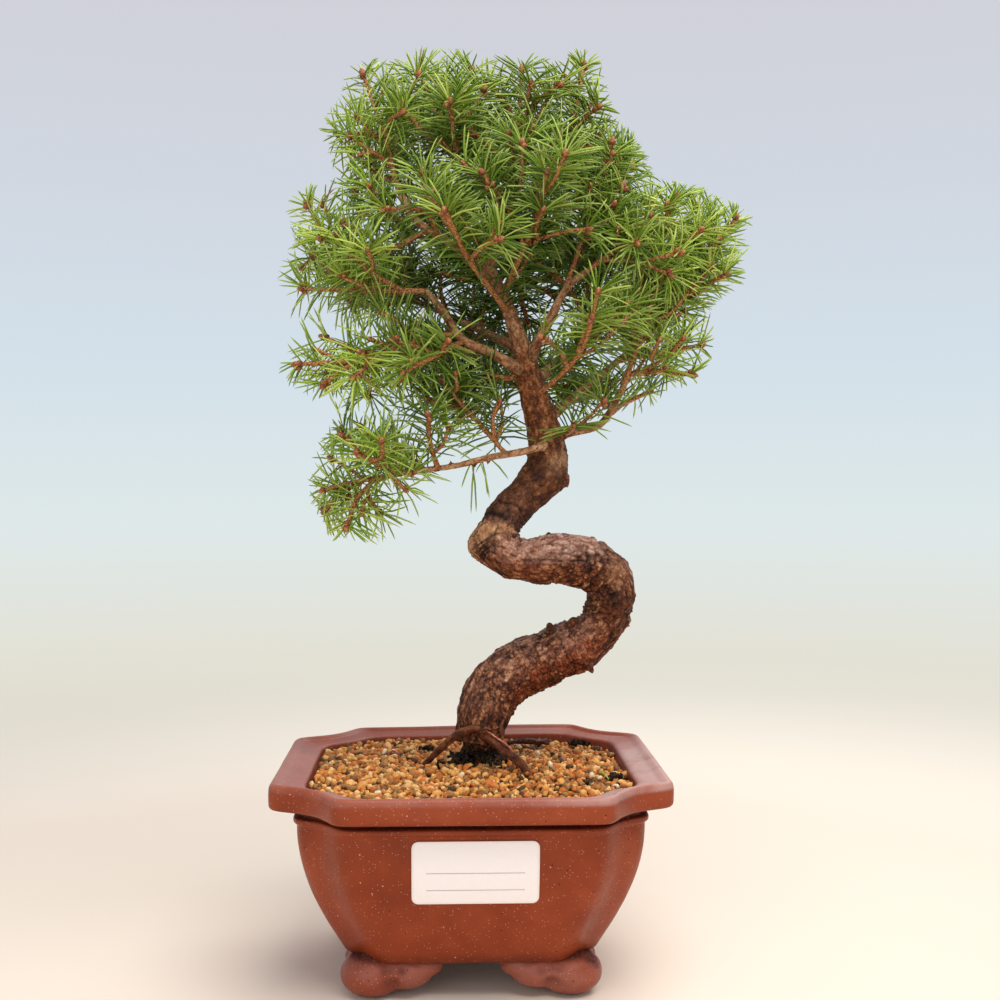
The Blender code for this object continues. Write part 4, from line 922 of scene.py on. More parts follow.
def dots_of(tree, specks, place, stretch, spacing, radius, chance):
    """Scattered dots of one size in a stretched place."""
    place = stretched(tree, place, *stretch)
    return share_of(tree, specks, place, Spacing=spacing, Radius=radius, Chance=chance)


def make_clay(flecks, specks, stains):
    """Burnished red-brown clay: corner haze, mineral specks, worn edges, painted rim sheen, dirt and painted
    shade in joints.
    """
    finish, tree, shader = new_finish("red brown clay", 0.42, Specular_IOR_Level=0.2)
    place = place_mm(tree)
    body = share_of(tree, flecks, place, Size=26.0, Contrast=2.2)
    colour = colours(tree, body, (0.0, 127, 50, 22), (0.5, 142, 58, 26), (1.0, 155, 68, 34))
    fine = effect_of(tree, flecks, place, Size=0.9, Contrast=2.4)
    colour = blend(tree, times(tree, fine["Share"], 0.24), colour, tint(102, 38, 18))
    cloud = share_of(tree, stains, stretched(tree, place, 1.0, 1.0, 0.3), Size=5.0, Low=0.42, High=0.72)
    haze = times(tree, cloud, mask_of(tree, "haze"))
    colour = blend(tree, times(tree, haze, 0.1), colour, tint(190, 124, 98))
    # Pale grey-pink: a painted sheen on the rim's top, a faint mineral bloom on the band and feet.
    mist = share_of(tree, stains, place, Size=16.0, Low=0.2, High=0.8)
    bloom = times(tree, mask_of(tree, "bloom"), plus(tree, mist, 0.3))
    colour = blend(tree, times(tree, bloom, 0.44), colour, tint(206, 182, 176))
    colour = blend(tree, times(tree, mask_of(tree, "edge"), 0.24), colour, tint(184, 102, 76))
    # Darkened in the joints, the groove, under the rim and in the feet's dimples: partly dirt, partly painted
    # shade.
    blotchy = times(tree, share_of(tree, stains, place, Size=5.0, Low=0.3, High=0.6), 0.5)
    dirt = times(tree, mask_of(tree, "dirt"), plus(tree, blotchy, 0.5))
    colour = blend(tree, dirt, colour, tint(58, 22, 13))
    pale = share_of(tree, specks, place, Spacing=1.1, Radius=0.16, Chance=0.5)
    large = dots_of(tree, specks, place, (1.0, 0.96, 1.0), 4.6, 0.3, 0.24)
    pale = reckon(tree, "MAXIMUM", pale, large)
    colour = blend(tree, times(tree, pale, 0.66), colour, tint(226, 182, 160))
    black = dots_of(tree, specks, place, (1.0, 1.0, 1.02), 3.1, 0.34, mask_of(tree, "spotty"))
    colour = blend(tree, times(tree, black, 0.85), colour, tint(30, 14, 9))
    rough = plus(tree, times(tree, haze, 0.2), 0.38)
    rough = plus(tree, rough, times(tree, dirt, 0.4))
    pits = reckon(tree, "SUBTRACT", fine["Relief"], times(tree, black, 0.8), False)
    join_finish(tree, shader, colour, rough, pits, 0.12, 0.4)
    return finish


def make_bark(flecks, specks, stains, scales):
    """Spruce bark: scaly on the old wood, pinkish with dark dashes on its top, the pink partly its own and
    partly a painted highlight, orange-brown on the young.
    """
    finish, tree, shader = new_finish("spruce bark", 0.7, Specular_IOR_Level=0.22)
    grain = vector_of(tree, "grain")
    fine = effect_of(tree, flecks, stretched(tree, grain, 0.7, 0.7, 1.0), Size=0.8, Contrast=4.6)
    coarse = share_of(tree, flecks, stretched(tree, grain, 1.0, 1.0, 0.6), Size=3.6, Contrast=3.6)
    flaky = effect_of(tree, scales, stretched(tree, grain, 1.0, 1.0, 0.62), Spacing=1.7)
    calm = times(tree, mask_of(tree, "plain"), 0.7)
    fine_share = plus(tree, times(tree, fine["Share"], 0.5), times(tree, flaky["Tone"], 0.5))
    fine_share = reckon(tree, "SUBTRACT", fine_share, times(tree, flaky["Gap"], 0.45))
    fine_share = put(tree, "ShaderNodeMix", {0: calm, 2: fine_share, 3: 0.42}, data_type="FLOAT").outputs[0]
    tones = plus(tree, times(tree, fine_share, 0.68), times(tree, coarse, 0.4))
    old = colours(
        tree, tones, (0.0, 18, 7, 3), (0.22, 58, 23, 10), (0.44, 106, 52, 25),
        (0.64, 150, 88, 50), (0.84, 188, 130, 86), (1.0, 220, 174, 130),
    )
    rugged = reckon(tree, "SUBTRACT", 0.9, mask_of(tree, "plain"))
    flake = dots_of(tree, specks, grain, (0.7, 0.7, 1.0), 1.5, 0.42, 0.2)
    old = blend(tree, times(tree, flake, times(tree, rugged, 0.75)), old, tint(204, 150, 106))
    young = colours(tree, tones, (0, 58, 27, 11), (0.3, 112, 60, 28), (0.6, 158, 96, 52), (1, 206, 148, 98))
    colour = blend(tree, mask_of(tree, "young"), old, young)
    rust = share_of(tree, stains, grain, Size=2.6, Low=0.3, High=0.6)
    rusty = blend(tree, fine["Share"], tint(96, 34, 12), tint(188, 88, 38))
    colour = blend(tree, times(tree, rust, times(tree, mask_of(tree, "rust"), 0.8)), colour, rusty)
    # Pinkish-grey on the bark's upward sides: partly its own colour, partly a painted highlight.
    pale = colours(
        tree, tones, (0, 90, 54, 42), (0.2, 142, 96, 78), (0.5, 180, 134, 114), (0.9, 214, 174, 156),
    )
    dashes = dots_of(tree, specks, grain, (1.0, 1.0, 0.5), 2.4, 0.62, 0.5)
    pale = blend(tree, times(tree, dashes, 0.85), pale, tint(58, 30, 20))
    cloud = share_of(tree, stains, grain, Size=5.0, Low=0.28, High=0.5)
    colour = blend(tree, times(tree, cloud, mask_of(tree, "pale")), colour, pale)
    tan = colours(
        tree, tones, (0, 112, 68, 40), (0.3, 166, 116, 78), (0.6, 198, 150, 108), (1, 220, 182, 144),
    )
    pegs = dots_of(tree, specks, grain, (1.0, 1.0, 0.8), 1.7, 0.42, 0.55)
    tan = blend(tree, times(tree, pegs, 0.8), tan, tint(84, 46, 26))
    colour = blend(tree, mask_of(tree, "tan"), colour, tan)
    colour = blend(tree, mask_of(tree, "dark"), colour, blend(tree, tones, tint(26, 13, 8), tint(92, 54, 34)))
    colour = blend(tree, mask_of(tree, "crack"), colour, tint(24, 11, 6))
    relief = plus(tree, fine["Relief"], times(tree, flaky["Tone"], 0.4))
    join_finish(tree, shader, colour, None, relief, 0.5, 1.0)
    return finish


def make_needle_green():
    """Needle: deep green inside the crown, lime at the fresh tips and on the crown's sides as a painted
    highlight, a paler tip that is partly a painted highlight, brown at its base, with a satin skin.
    """
    finish, tree, shader = new_finish("needle green", 0.4, Specular_IOR_Level=0.22)
    tone, fresh, along = mask_of(tree, "tone"), mask_of(tree, "fresh"), mask_of(tree, "along")
    # Deep green to lime: fresh growth, and a painted highlight on the crown's left and right sides.
    deep = colours(tree, tone, (0.0, 22, 44, 2), (0.5, 47, 81, 6), (1.0, 88, 120, 18))
    lime = colours(tree, tone, (0.0, 90, 124, 26), (0.5, 142, 168, 48), (1.0, 200, 214, 106))
    colour = blend(tree, fresh, deep, lime)
    # Paler towards each needle's tip: partly its own colour, partly a painted highlight.
    paler = blend(tree, 0.45, colour, tint(182, 198, 112))
    colour = blend(tree, between(tree, along, 0.5, 1.05), colour, paler)
    colour = blend(tree, between(tree, mask_of(tree, "dry"), 0.5, 1.0), colour, tint(150, 104, 52))
    colour = blend(tree, between(tree, along, 0.09, 0.02), colour, tint(122, 78, 40))
    rough = plus(tree, times(tree, tone, 0.16), 0.34)
    join_finish(tree, shader, colour, rough, plain_noise(tree, 1.1, 0.0), 0.05, 0.4)
    return finish


def make_flecked(flecks, name):
    """A finish of the table of flecked finishes: colours along the share of flecks, and their relief."""
    roughness, gloss, size, contrast, stops, depth, strength = FLECKED[name]
    finish, tree, shader = new_finish(name, roughness, Specular_IOR_Level=gloss)
    fine = effect_of(tree, flecks, place_mm(tree), Size=size, Contrast=contrast)
    join_finish(tree, shader, colours(tree, fine["Share"], *stops), None, fine["Relief"], depth, strength)
    return finish


def make_bud_brown(flecks):
    """Bud: red-brown scales with paler papery edges."""
    finish, tree, shader = new_finish("bud brown", 0.5, Specular_IOR_Level=0.4)
    fine = effect_of(tree, flecks, place_mm(tree), Size=0.7, Contrast=3.4)
    share = plus(tree, times(tree, mask_of(tree, "along"), 0.5), times(tree, fine["Share"], 0.5))
    colour = colours(
        tree, share, (0, 66, 26, 12), (0.35, 122, 58, 28), (0.7, 168, 100, 58), (1, 208, 158, 114),
    )
    join_finish(tree, shader, colour, None, fine["Relief"], 0.25, 0.8)
    return finish


def make_grit_stone(flecks):
    """Fired clay grit: each grain has its own colour, from ochre and orange to grey-brown and white."""
    finish, tree, shader = new_finish("fired clay grit", 0.6, Specular_IOR_Level=0.3)
    grain = colours(
        tree, mask_of(tree, "tone"), (0.0, 66, 42, 22), (0.06, 122, 80, 36), (0.13, 156, 114, 62),
        (0.2, 168, 98, 36), (0.34, 214, 140, 60), (0.48, 234, 168, 86), (0.62, 196, 110, 38),
        (0.72, 240, 190, 120), (0.84, 176, 122, 60), (0.92, 214, 122, 52), (0.995, 244, 218, 178), steps=True,
    )
    fine = effect_of(tree, flecks, place_mm(tree), Size=0.8, Contrast=2.4)
    colour = blend(tree, times(tree, fine["Share"], 0.26), grain, tint(108, 68, 30))
    colour = blend(tree, mask_of(tree, "damp"), colour, tint(26, 17, 10))
    join_finish(tree, shader, colour, None, fine["Relief"], 0.3, 0.8)
    return finish


def make_paper(flecks):
    """Coated paper of the sticker with plain write-on lines, faintly mottled, a little worn at its edge."""
    finish, tree, shader = new_finish("sticker paper", 0.4, Specular_IOR_Level=0.5)
    place = place_mm(tree)
    fine = effect_of(tree, flecks, place, Size=1.4, Contrast=0.8)
    colour = colours(tree, fine["Share"], (0.0, 243, 233, 230), (1.0, 250, 242, 240))
    colour = blend(tree, times(tree, mask_of(tree, "edge"), 0.4), colour, tint(206, 190, 178))
    apart = put(tree, "ShaderNodeSeparateXYZ", {0: place}).outputs

    def within(axis, middle, half):
        inputs = {0: apart[axis], 1: middle, 2: half}
        return put(tree, "ShaderNodeMath", inputs, operation="COMPARE").outputs[0]

    reach = times(tree, within("X", LABEL_CENTRE_X + POT_MIDDLE[0] / MM, RULED_REACH), 0.7)
    for height in RULED_AT:
        colour = blend(tree, times(tree, within("Z", height, RULED_HALF), reach), colour, tint(110, 104, 104))
    join_finish(tree, shader, colour, None, fine["Relief"], 0.03, 0.3)
    return finish


def make_copper(stains, flecks):
    finish, tree, shader = new_finish("pinkish copper", 0.35, Metallic=0.8)
    place = place_mm(tree)
    dull = share_of(tree, stains, place, Size=3.0, Low=0.35, High=0.65)
    colour = blend(tree, dull, tint(214, 134, 112), tint(150, 84, 62))
    rough = plus(tree, times(tree, dull, 0.25), 0.28)
    fine = effect_of(tree, flecks, place, Size=0.6, Contrast=1.0)["Relief"]
    join_finish(tree, shader, colour, rough, fine, 0.05, 0.4)
    return finish


# Making: pot


def soft_level(half, straight, height, softness):
    """One level of the pot: a square with shallow concave cut corners, all its bends rounded by softness."""
    notch = half - straight
    corner = [(half, straight)]
    for share in np.linspace(0, 1, 12)[1:-1]:
        inward = notch * NOTCH_SAG_SHARE * math.sin(math.pi * share) ** 1.3
        corner.append((half - notch * share - inward, straight + notch * share - inward))
    corner = np.array(corner + [(straight, half)])
    outline = np.vstack([corner @ np.array(turn)[:2, :2] for turn in QUARTER_TURNS] + [corner[:1]])
    run = run_of(outline)
    even = sampled(outline, run, np.arange(LEVEL_STEPS) * run[-1] / LEVEL_STEPS)
    reach = softness * LEVEL_STEPS / run[-1]
    shifts = np.arange(-int(3 * reach), int(3 * reach) + 1)
    weights = np.exp(-0.5 * (shifts / reach) ** 2)
    weights /= weights.sum()
    rounded = sum(weight * np.roll(even, -shift, axis=0) for shift, weight in zip(shifts, weights))
    # More points round the corner than along the straight side
    cut = run[len(corner) - 1] / run[-1] * LEVEL_STEPS
    quarter = LEVEL_STEPS / 4
    margin = 3.2 * reach
    bend = np.linspace(-margin, cut + margin, 27)
    own = np.concatenate([bend, np.linspace(cut + margin, quarter - margin, 9)[1:-1]])
    picked = np.concatenate([own + part * quarter for part in range(4)]) % LEVEL_STEPS
    flat = sampled(np.vstack([rounded, rounded[:1]]), np.arange(LEVEL_STEPS + 1), picked)
    return np.column_stack([flat, np.full(len(flat), height)])


def body_half(height):
    """Half the body's width at a height."""
    share = min(1.0, (height - BODY_BOTTOM) / (BODY_TOP - 3.0 - BODY_BOTTOM))
    return BODY_BOTTOM_HALF + (BODY_TOP_HALF - BODY_BOTTOM_HALF) * math.sin(0.5 * math.pi * share)


def body_level(height, out=0.0):
    """One level of the body's outside."""
    share = (height - BODY_BOTTOM) / (BODY_TOP - BODY_BOTTOM)
    notch = NOTCH_BOTTOM + (NOTCH_TOP - NOTCH_BOTTOM) * share
    return soft_level(body_half(height) + out, body_half(height) - notch, height, BODY_SOFTNESS)


def inner_level(height, inset=0.0):
    """One level of the hollow that holds the soil."""
    share = min(1.0, (height - CAVITY_FLOOR) / (RIM_BAND_BOTTOM - CAVITY_FLOOR))
    half = CAVITY_FLOOR_HALF + (CAVITY_HALF - CAVITY_FLOOR_HALF) * math.sin(0.5 * math.pi * share) - inset
    return soft_level(half, half - NOTCH_TOP + 0.4 * inset, height, MOUTH_SOFTNESS)


def rim_level(height, inset):
    """One level of the rim, inset from its outer edge."""
    softness = RIM_SOFTNESS + (MOUTH_SOFTNESS - RIM_SOFTNESS) * ramped(inset, 4.0, RIM_WIDTH)
    return soft_level(RIM_HALF - inset, RIM_STRAIGHT_HALF - RIM_NARROWING * inset, height, softness)


def pot_levels():
    """Rings from the underside up the outside, over the rim and down the inside, each with dirt and painted
    shade, and wear.
    """
    levels = [(body_level(z, out), 0.5, 0.0) for z, out in UNDER_EDGE]
    for z in np.linspace(17.5, BODY_TOP - 3.4, 36):
        # Darker towards the body's underside.
        levels.append((body_level(z), 0.5 * (1 - ramped(z, 16, 21)), 0.0))
    bead = [(BODY_TOP + up, out, 0) for up, out in BEAD] + [(RIM_BAND_BOTTOM, -2.6, 0)]
    for z, out, _ in smooth_path(bead, 0.4):
        # Dark in the groove over the bead: mostly painted shade, with some dirt.
        dirt = 0.7 * ramped(z, BODY_TOP - 0.1, BODY_TOP + 0.5)
        levels.append((body_level(z, out), dirt, 0.1 * ramped(out, 0.4, 1.1)))
    lip = [
        (RIM_BAND_BOTTOM, 2.6, 0), (RIM_BAND_BOTTOM + 0.15, 1.3, 0), (RIM_BAND_BOTTOM + 0.9, 0.4, 0),
        (RIM_BAND_BOTTOM + 2.4, 0.05, 0), (RIM_TOP - 3.6, 0.0, 0), (RIM_TOP - 1.5, 0.25, 0),
        (RIM_TOP - 0.45, 1.0, 0), (RIM_TOP - 0.02, 2.3, 0), (RIM_TOP - 0.5, 3.8, 0), (RIM_TOP - 1.35, 5.4, 0),
        (RIM_TOP - 1.9, 8.5, 0), (RIM_TOP - 2.3, RIM_WIDTH - 2.4, 0), (RIM_TOP - 2.7, RIM_WIDTH - 1.0, 0),
        (RIM_TOP - 3.4, RIM_WIDTH - 0.25, 0), (CAVITY_MOUTH, RIM_WIDTH, 0),
        (CAVITY_MOUTH - 2.0, RIM_WIDTH + 0.6, 0),
    ]
    for z, inset, _ in smooth_path(lip, 0.5):
        if inset < 3.0:
            # Dark on the underside of the rim band: painted shade with some dirt.
            dirt = 0.7 - 0.7 * ramped(z, RIM_BAND_BOTTOM, RIM_BAND_BOTTOM + 0.8)
            worn = 0.7 * ramped(z, RIM_TOP - 1.5, RIM_TOP - 0.2)
        else:
            # Dark at the rim's inner edge and down the inner wall: painted shade.
            dirt = 0.35 * ramped(inset, RIM_WIDTH - 1.2, RIM_WIDTH)
            worn = 0.1
        levels.append((rim_level(z, inset), dirt, worn))
    levels += [(inner_level(z), 1.0, 0.0) for z in INNER_LEVELS]
    turn = np.arctan2(levels[0][0][:, 1], levels[0][0][:, 0])
    drain = DRAIN_RADIUS * np.stack([np.cos(turn), np.sin(turn)], -1)
    for z, dirt in ((CAVITY_FLOOR, 1.0), (BODY_BOTTOM, 0.5)):
        levels.append((np.column_stack([drain, np.full(len(drain), z)]), dirt, 0.0))
    return levels


def make_pot(clay):
    """Body, bead, groove and dished rim in fine levels, with the cloud-shaped feet under the corners."""
    levels = pot_levels()
    columns = len(levels[0][0])
    points = np.vstack([level for level, _, _ in levels])
    dirt = np.repeat([dirt for _, dirt, _ in levels], columns)
    edge = np.repeat([edge for _, _, edge in levels], columns)
    uneven = 0.16 * soft_noise(points, 17.0, 1) + 0.06 * soft_noise(points, 5.0, 2)
    outward = unit(points * (1, 1, 0))
    points = points + outward * uneven[:, None]
    x, y, z = points.T
    corner = np.minimum(abs(x), abs(y)) / np.maximum(np.maximum(abs(x), abs(y)), 1)
    haze = ramped(corner, 0.62, 0.76) * ramped(z, 22, 40) * (1 - ramped(z, 58, 70)) + 0.1
    # Pale grey-pink on the rim's top, strongest to the right and front: a painted sheen; on the rim band and
    # feet a faint mineral bloom.
    on_top = ramped(z, RIM_TOP - 3.6, RIM_TOP - 2.0)
    bloom = on_top * (0.25 + 0.75 * ramped(x, 10, 60)) * ramped(30 - y, -30, 20)
    bloom = bloom + 0.02 * ramped(z, RIM_BAND_BOTTOM, RIM_TOP - 5) * (1 - on_top)
    spotty = 0.1 + 0.7 * ramped(x, 20, 60)
    points[:, 2] += CORNER_LIFT * ramped(x + y, 30, 110) * ramped(z, BODY_TOP - 2.0, RIM_BAND_BOTTOM)
    heap = Heap("haze", "bloom", "edge", "dirt", "spotty")
    closed = grid_triangles(len(levels), columns, True)
    heap.add(points, closed, haze=haze, bloom=bloom, edge=edge, dirt=dirt, spotty=spotty)
    foot, foot_triangles, foot_dirt, foot_edge = make_foot()
    for turn in QUARTER_TURNS:
        spun = foot @ np.array(turn)
        smudge = 0.9 * (1 - ramped(np.linalg.norm(spun - FOOT_SMUDGE, axis=1), 3.0, 8.0))
        dirt = np.maximum(foot_dirt, smudge)
        heap.add(spun, foot_triangles, haze=0.3, bloom=0.25, edge=foot_edge, dirt=dirt, spotty=0.4)
    return heap.lay("pot_clay", [clay], "terracotta", ("pot",))


def egg(centre, radii, fullness):
    """A closed rounded lump; fullness under 1 fills it out towards a barrel."""
    levels, sides = 22, 30
    tilt = np.linspace(0.03, math.pi - 0.03, levels)[:, None]
    turn = round_turns(sides)[None]
    round_out = np.sin(tilt) ** fullness
    points = np.stack([
        centre[0] + radii[0] * round_out * np.cos(turn),
        centre[1] + radii[1] * round_out * np.sin(turn),
        centre[2] - radii[2] * np.cos(tilt) + 0 * turn,
    ], -1).reshape(-1, 3)
    return capped(points, levels, sides, points[:sides].mean(0), points[-sides:].mean(0))


def stacked(parts):
    """Meshes as one: all points, and all triangles with their numbers moved on."""
    starts = np.cumsum([0] + [len(points) for points, _ in parts])
    triangles = [triangles + start for (_, triangles), start in zip(parts, starts)]
    return np.vstack([points for points, _ in parts]), np.vstack(triangles)


def make_foot():
    """The foot under one corner: a lobe under the cut corner, smaller ones along each side, and dimples."""
    lumps = []
    for centre, radii, fullness in FOOT_LOBES:
        lumps.append(egg(centre, radii, fullness))
        if centre[0] != centre[1]:
            lumps.append(egg(swapped(centre), swapped(radii), fullness))
    places, corners, facing = remeshed(*stacked(lumps), FOOT_CELL, 5)
    dirt = np.zeros(len(places))
    # Dimples pressed in and darkened: partly dirt, partly painted shade.
    for dimple, reach in FOOT_DIMPLES:
        for spot in (dimple, swapped(dimple)):
            sunk = near(places, spot, reach)
            places -= facing * sunk[:, None] * 1.3
            dirt = np.maximum(dirt, 0.6 * sunk)
    places += facing * (0.12 * soft_noise(places, 4.0, 3))[:, None]
    places[:, 2] = np.maximum(places[:, 2], 0.0)
    # Dark at the foot's base by the floor and where it meets the body: partly dirt, partly painted shade.
    dirt = np.maximum(dirt, 0.8 * (1 - ramped(places[:, 2], 0.2, 1.8)))
    dirt = np.maximum(dirt, 0.9 * ramped(places[:, 2], 14.2, 16.5))
    edge = 0.5 * ramped(np.linalg.norm(places[:, :2], axis=1), 66, 72)
    return places, corners, dirt, edge


def swapped(place):
    """The mirror image across the pot's diagonal."""
    return place[1], place[0], place[2]


def make_label(paper):
    """Blank sticker with rounded corners that follows the curve of the front."""
    columns, rows = 40, 22
    half, middle = LABEL_WIDTH / 2, (LABEL_LOW + LABEL_HIGH) / 2
    points, edges = [], []
    for lift in LABEL_LIFTS:
        for z in middle - (LABEL_HIGH - LABEL_LOW) / 2 * np.cos(np.linspace(0, math.pi, rows)):
            inside = max(0.0, LABEL_CORNER - min(z - LABEL_LOW, LABEL_HIGH - z))
            cut = LABEL_CORNER - math.sqrt(max(0.0, LABEL_CORNER**2 - inside**2))
            for x in np.linspace(-half, half, columns):
                points.append((LABEL_CENTRE_X + x * (half - cut) / half, -body_half(z) - lift, z))
                away = min(half - abs(x), z - LABEL_LOW, LABEL_HIGH - z)
                edges.append(1 - min(1.0, away / LABEL_WORN))
    size = rows * columns
    triangles = []
    for i in range(rows - 1):
        for a in range(i * columns, (i + 1) * columns - 1):
            b, c, d = a + 1, a + columns + 1, a + columns
            triangles += [(a, c, b), (a, d, c)]
            triangles += [(a + size, b + size, c + size), (a + size, c + size, d + size)]
    rim = list(range(columns)) + [(i + 1) * columns - 1 for i in range(1, rows)]
    rim += [(rows - 1) * columns + j for j in range(columns - 2, -1, -1)]
    rim += [i * columns for i in range(rows - 2, 0, -1)]
    for a, b in zip(rim, rim[1:] + rim[:1]):
        triangles += [(a, b, b + size), (a, b + size, a + size)]
    masks = {"edge": edges}
    return add_piece("label_sticker", points, triangles, [paper], "paper", ("label",), masks, sharp=40)


# Making: soil


def turned_at_random(count, rng):
    """Random rotations, one matrix each."""
    q = rng.normal(size=(count, 4))
    w, x, y, z = (q / np.linalg.norm(q, axis=1)[:, None]).T
    return np.stack([
        np.stack([1 - 2 * (y * y + z * z), 2 * (x * y - z * w), 2 * (x * z + y * w)], -1),
        np.stack([2 * (x * y + z * w), 1 - 2 * (x * x + z * z), 2 * (y * z - x * w)], -1),
        np.stack([2 * (x * z - y * w), 2 * (y * z + x * w), 1 - 2 * (x * x + y * y)], -1),
    ], 1)


def pebble():
    """Points and triangles of a unit ball made from a cube with four squares a side."""
    points = [p for p in np.ndindex(3, 3, 3) if p != (1, 1, 1)]
    places = np.array(points, float) - 1
    squares = []
    for axis in range(3):
        for side in (0, 2):
            for i, j in np.ndindex(2, 2):
                corners = []
                for u, v in ((i, j), (i + 1, j), (i + 1, j + 1), (i, j + 1)):
                    corner = [u, v]
                    corner.insert(axis, side)
                    corners.append(points.index(tuple(corner)))
                flip = (side == 2) == (axis == 1)
                squares.append(corners[::-1] if flip else corners)
    squares = np.array(squares)
    return unit(places), np.vstack([squares[:, :3], squares[:, [0, 2, 3]]])


def grains(centres, radii, rng, rough=0.22):
    """Many rounded, uneven grains as one mesh, and how many points each has."""
    ball, triangles = pebble()
    count = len(centres)
    shape = 1 + rng.normal(size=(count, len(ball), 1)) * rough * 0.6
    spread = np.array(GRIT_SHAPE) * (1 + rng.normal(size=(count, 1, 3)) * 0.1)
    local = ball[None] * shape * spread * np.asarray(radii)[:, None, None]
    placed = np.einsum("nij,nkj->nki", turned_at_random(count, rng), local) + np.asarray(centres)[:, None]
    shifted = triangles[None] + (np.arange(count) * len(ball))[:, None, None]
    return placed.reshape(-1, 3), shifted.reshape(-1, 3), len(ball)


def in_mouth(x, y):
    """How far inside the pot's mouth a place is, less than zero outside it."""
    half = RIM_HALF - RIM_WIDTH - 0.6
    straight = RIM_STRAIGHT_HALF - RIM_NARROWING * RIM_WIDTH
    cut = (half + straight - abs(x) - abs(y)) / math.sqrt(2) - 0.12 * (half - straight)
    # Rounded where the straight sides meet the cut corners
    sides = sum(np.exp(-gap / MOUTH_BEND) for gap in (half - abs(x), half - abs(y), cut))
    return -MOUTH_BEND * np.log(sides)


def soil_height(x, y):
    """The grit's surface: a low mound round the trunk, lower at the pot's raised corner."""
    mound = SOIL_MOUND * np.exp(-((x - 6) ** 2 + (y - 6) ** 2) / 700)
    return SOIL_TOP + mound - 0.7 * CORNER_LIFT * ramped(x + y, 40, 105)


def patch(x, y, middle_x, middle_y, wide, deep):
    """1 at the middle of an oval patch, falling to 0 beyond it."""
    return np.exp(-(((x - middle_x) / wide) ** 2 + ((y - middle_y) / deep) ** 2))


def make_soil(stone, dark, bark, green):
    """Loose grit over a closed bed of dark soil, with damp patches, crumbs and a little litter."""
    rng = np.random.default_rng(SEED)
    heap = Heap("tone", "damp", "fresh", "along", "dark", "plain")
    lay_grit(heap, rng)
    heap.add(*soil_bed(), 1)
    lay_crumbs(heap, rng)
    lay_litter(heap, rng)
    return heap.lay("soil_grit", [stone, dark, bark, green], "grit", ("soil",))


def lay_grit(heap, rng):
    """Grains on an uneven triangular grid inside the pot's mouth, except under the trunk."""
    reach = int(GRIT_REACH / (GRIT_PITCH * TRIANGLE_HEIGHT))
    steps = np.arange(-reach, reach + 1)
    row, column = np.meshgrid(steps, steps, indexing="ij")
    x = ((column + 0.5 * (row % 2)) * GRIT_PITCH).ravel() + rng.uniform(-0.75, 0.75, row.size)
    y = (row * GRIT_PITCH * TRIANGLE_HEIGHT).ravel() + rng.uniform(-0.75, 0.75, row.size)
    bare = np.hypot((x - BARE_SOIL[0]) / BARE_SOIL[2], (y - BARE_SOIL[1]) / BARE_SOIL[3])
    bare = bare + rng.uniform(-0.15, 0.15, row.size)
    keep = (in_mouth(x, y) > 0.8) & (bare > 0.9)
    x, y = x[keep], y[keep]
    radii = rng.uniform(1.0, 2.05, len(x))
    z = soil_height(x, y) + rng.uniform(-1.9, 0.2, len(x)) - 0.1 * radii
    damp = np.max([patch(x, y, *spot) for spot in DAMP_SPOTS], axis=0)
    damp = ramped(damp + rng.uniform(-0.25, 0.25, len(x)), 0.35, 0.7)
    sunk = np.stack([x, y, z - 0.7 * damp], -1)
    points, triangles, per = grains(sunk, radii * (1 - 0.22 * damp), rng)
    tone = rng.uniform(0, 1, len(x))
    damp = damp * rng.uniform(0.75, 1, len(x))
    heap.add(points, triangles, 0, tone=np.repeat(tone, per), damp=np.repeat(damp, per))


def lay_crumbs(heap, rng):
    """Crumbs of dark soil heaped between the roots, and clumps of them elsewhere."""
    crumbs = rng.normal(size=(CRUMBS, 2)) * CRUMBS_SPREAD + CRUMBS_MIDDLE
    heaped = HEAP_HEIGHT * patch(*crumbs.T, *SOIL_HEAP)
    high = soil_height(*crumbs.T) + rng.uniform(-1.2, 0.8, CRUMBS) + heaped
    places = np.column_stack([crumbs, high])
    heap.add(*grains(places, rng.uniform(0.7, 2.0, CRUMBS), rng, 0.3)[:2], 1)
    for x, y, size in SOIL_CLUMPS:
        around = rng.normal(size=(9, 3)) * (size * 0.5, size * 0.3, 0.5) + (x, y, SOIL_TOP + 0.9)
        heap.add(*grains(around, rng.uniform(0.5, 0.8, 9) * size * 0.6, rng, 0.25)[:2], 1)


def lay_litter(heap, rng):
    """A flake of bark, a fallen needle and a few white stones."""
    flake = smooth_path(BARK_FLAKE, 1.0)
    middle = flake.mean(0)
    points, triangles = tube(flake, 1.6 + 0.9 * soft_noise(flake, 1.8, 95), 12)
    points = points + rng.normal(size=points.shape) * 0.3
    flattened = (points - middle) * (1, 1.5, 0.7) + middle + BARK_FLAKE_SHIFT
    heap.add(flattened, triangles, 2, dark=0.1)
    fallen = smooth_path(FALLEN_NEEDLE, 1.0)
    heap.add(*tube(fallen, np.full(len(fallen), 0.3), 6), 3, tone=0.6, fresh=0.9, along=0.4)
    white = np.array(WHITE_STONES)
    white = np.column_stack([white, soil_height(*white.T) + 1.1])
    heap.add(*grains(white, np.full(len(white), 1.6), rng, 0.12)[:2], 0, tone=0.998)


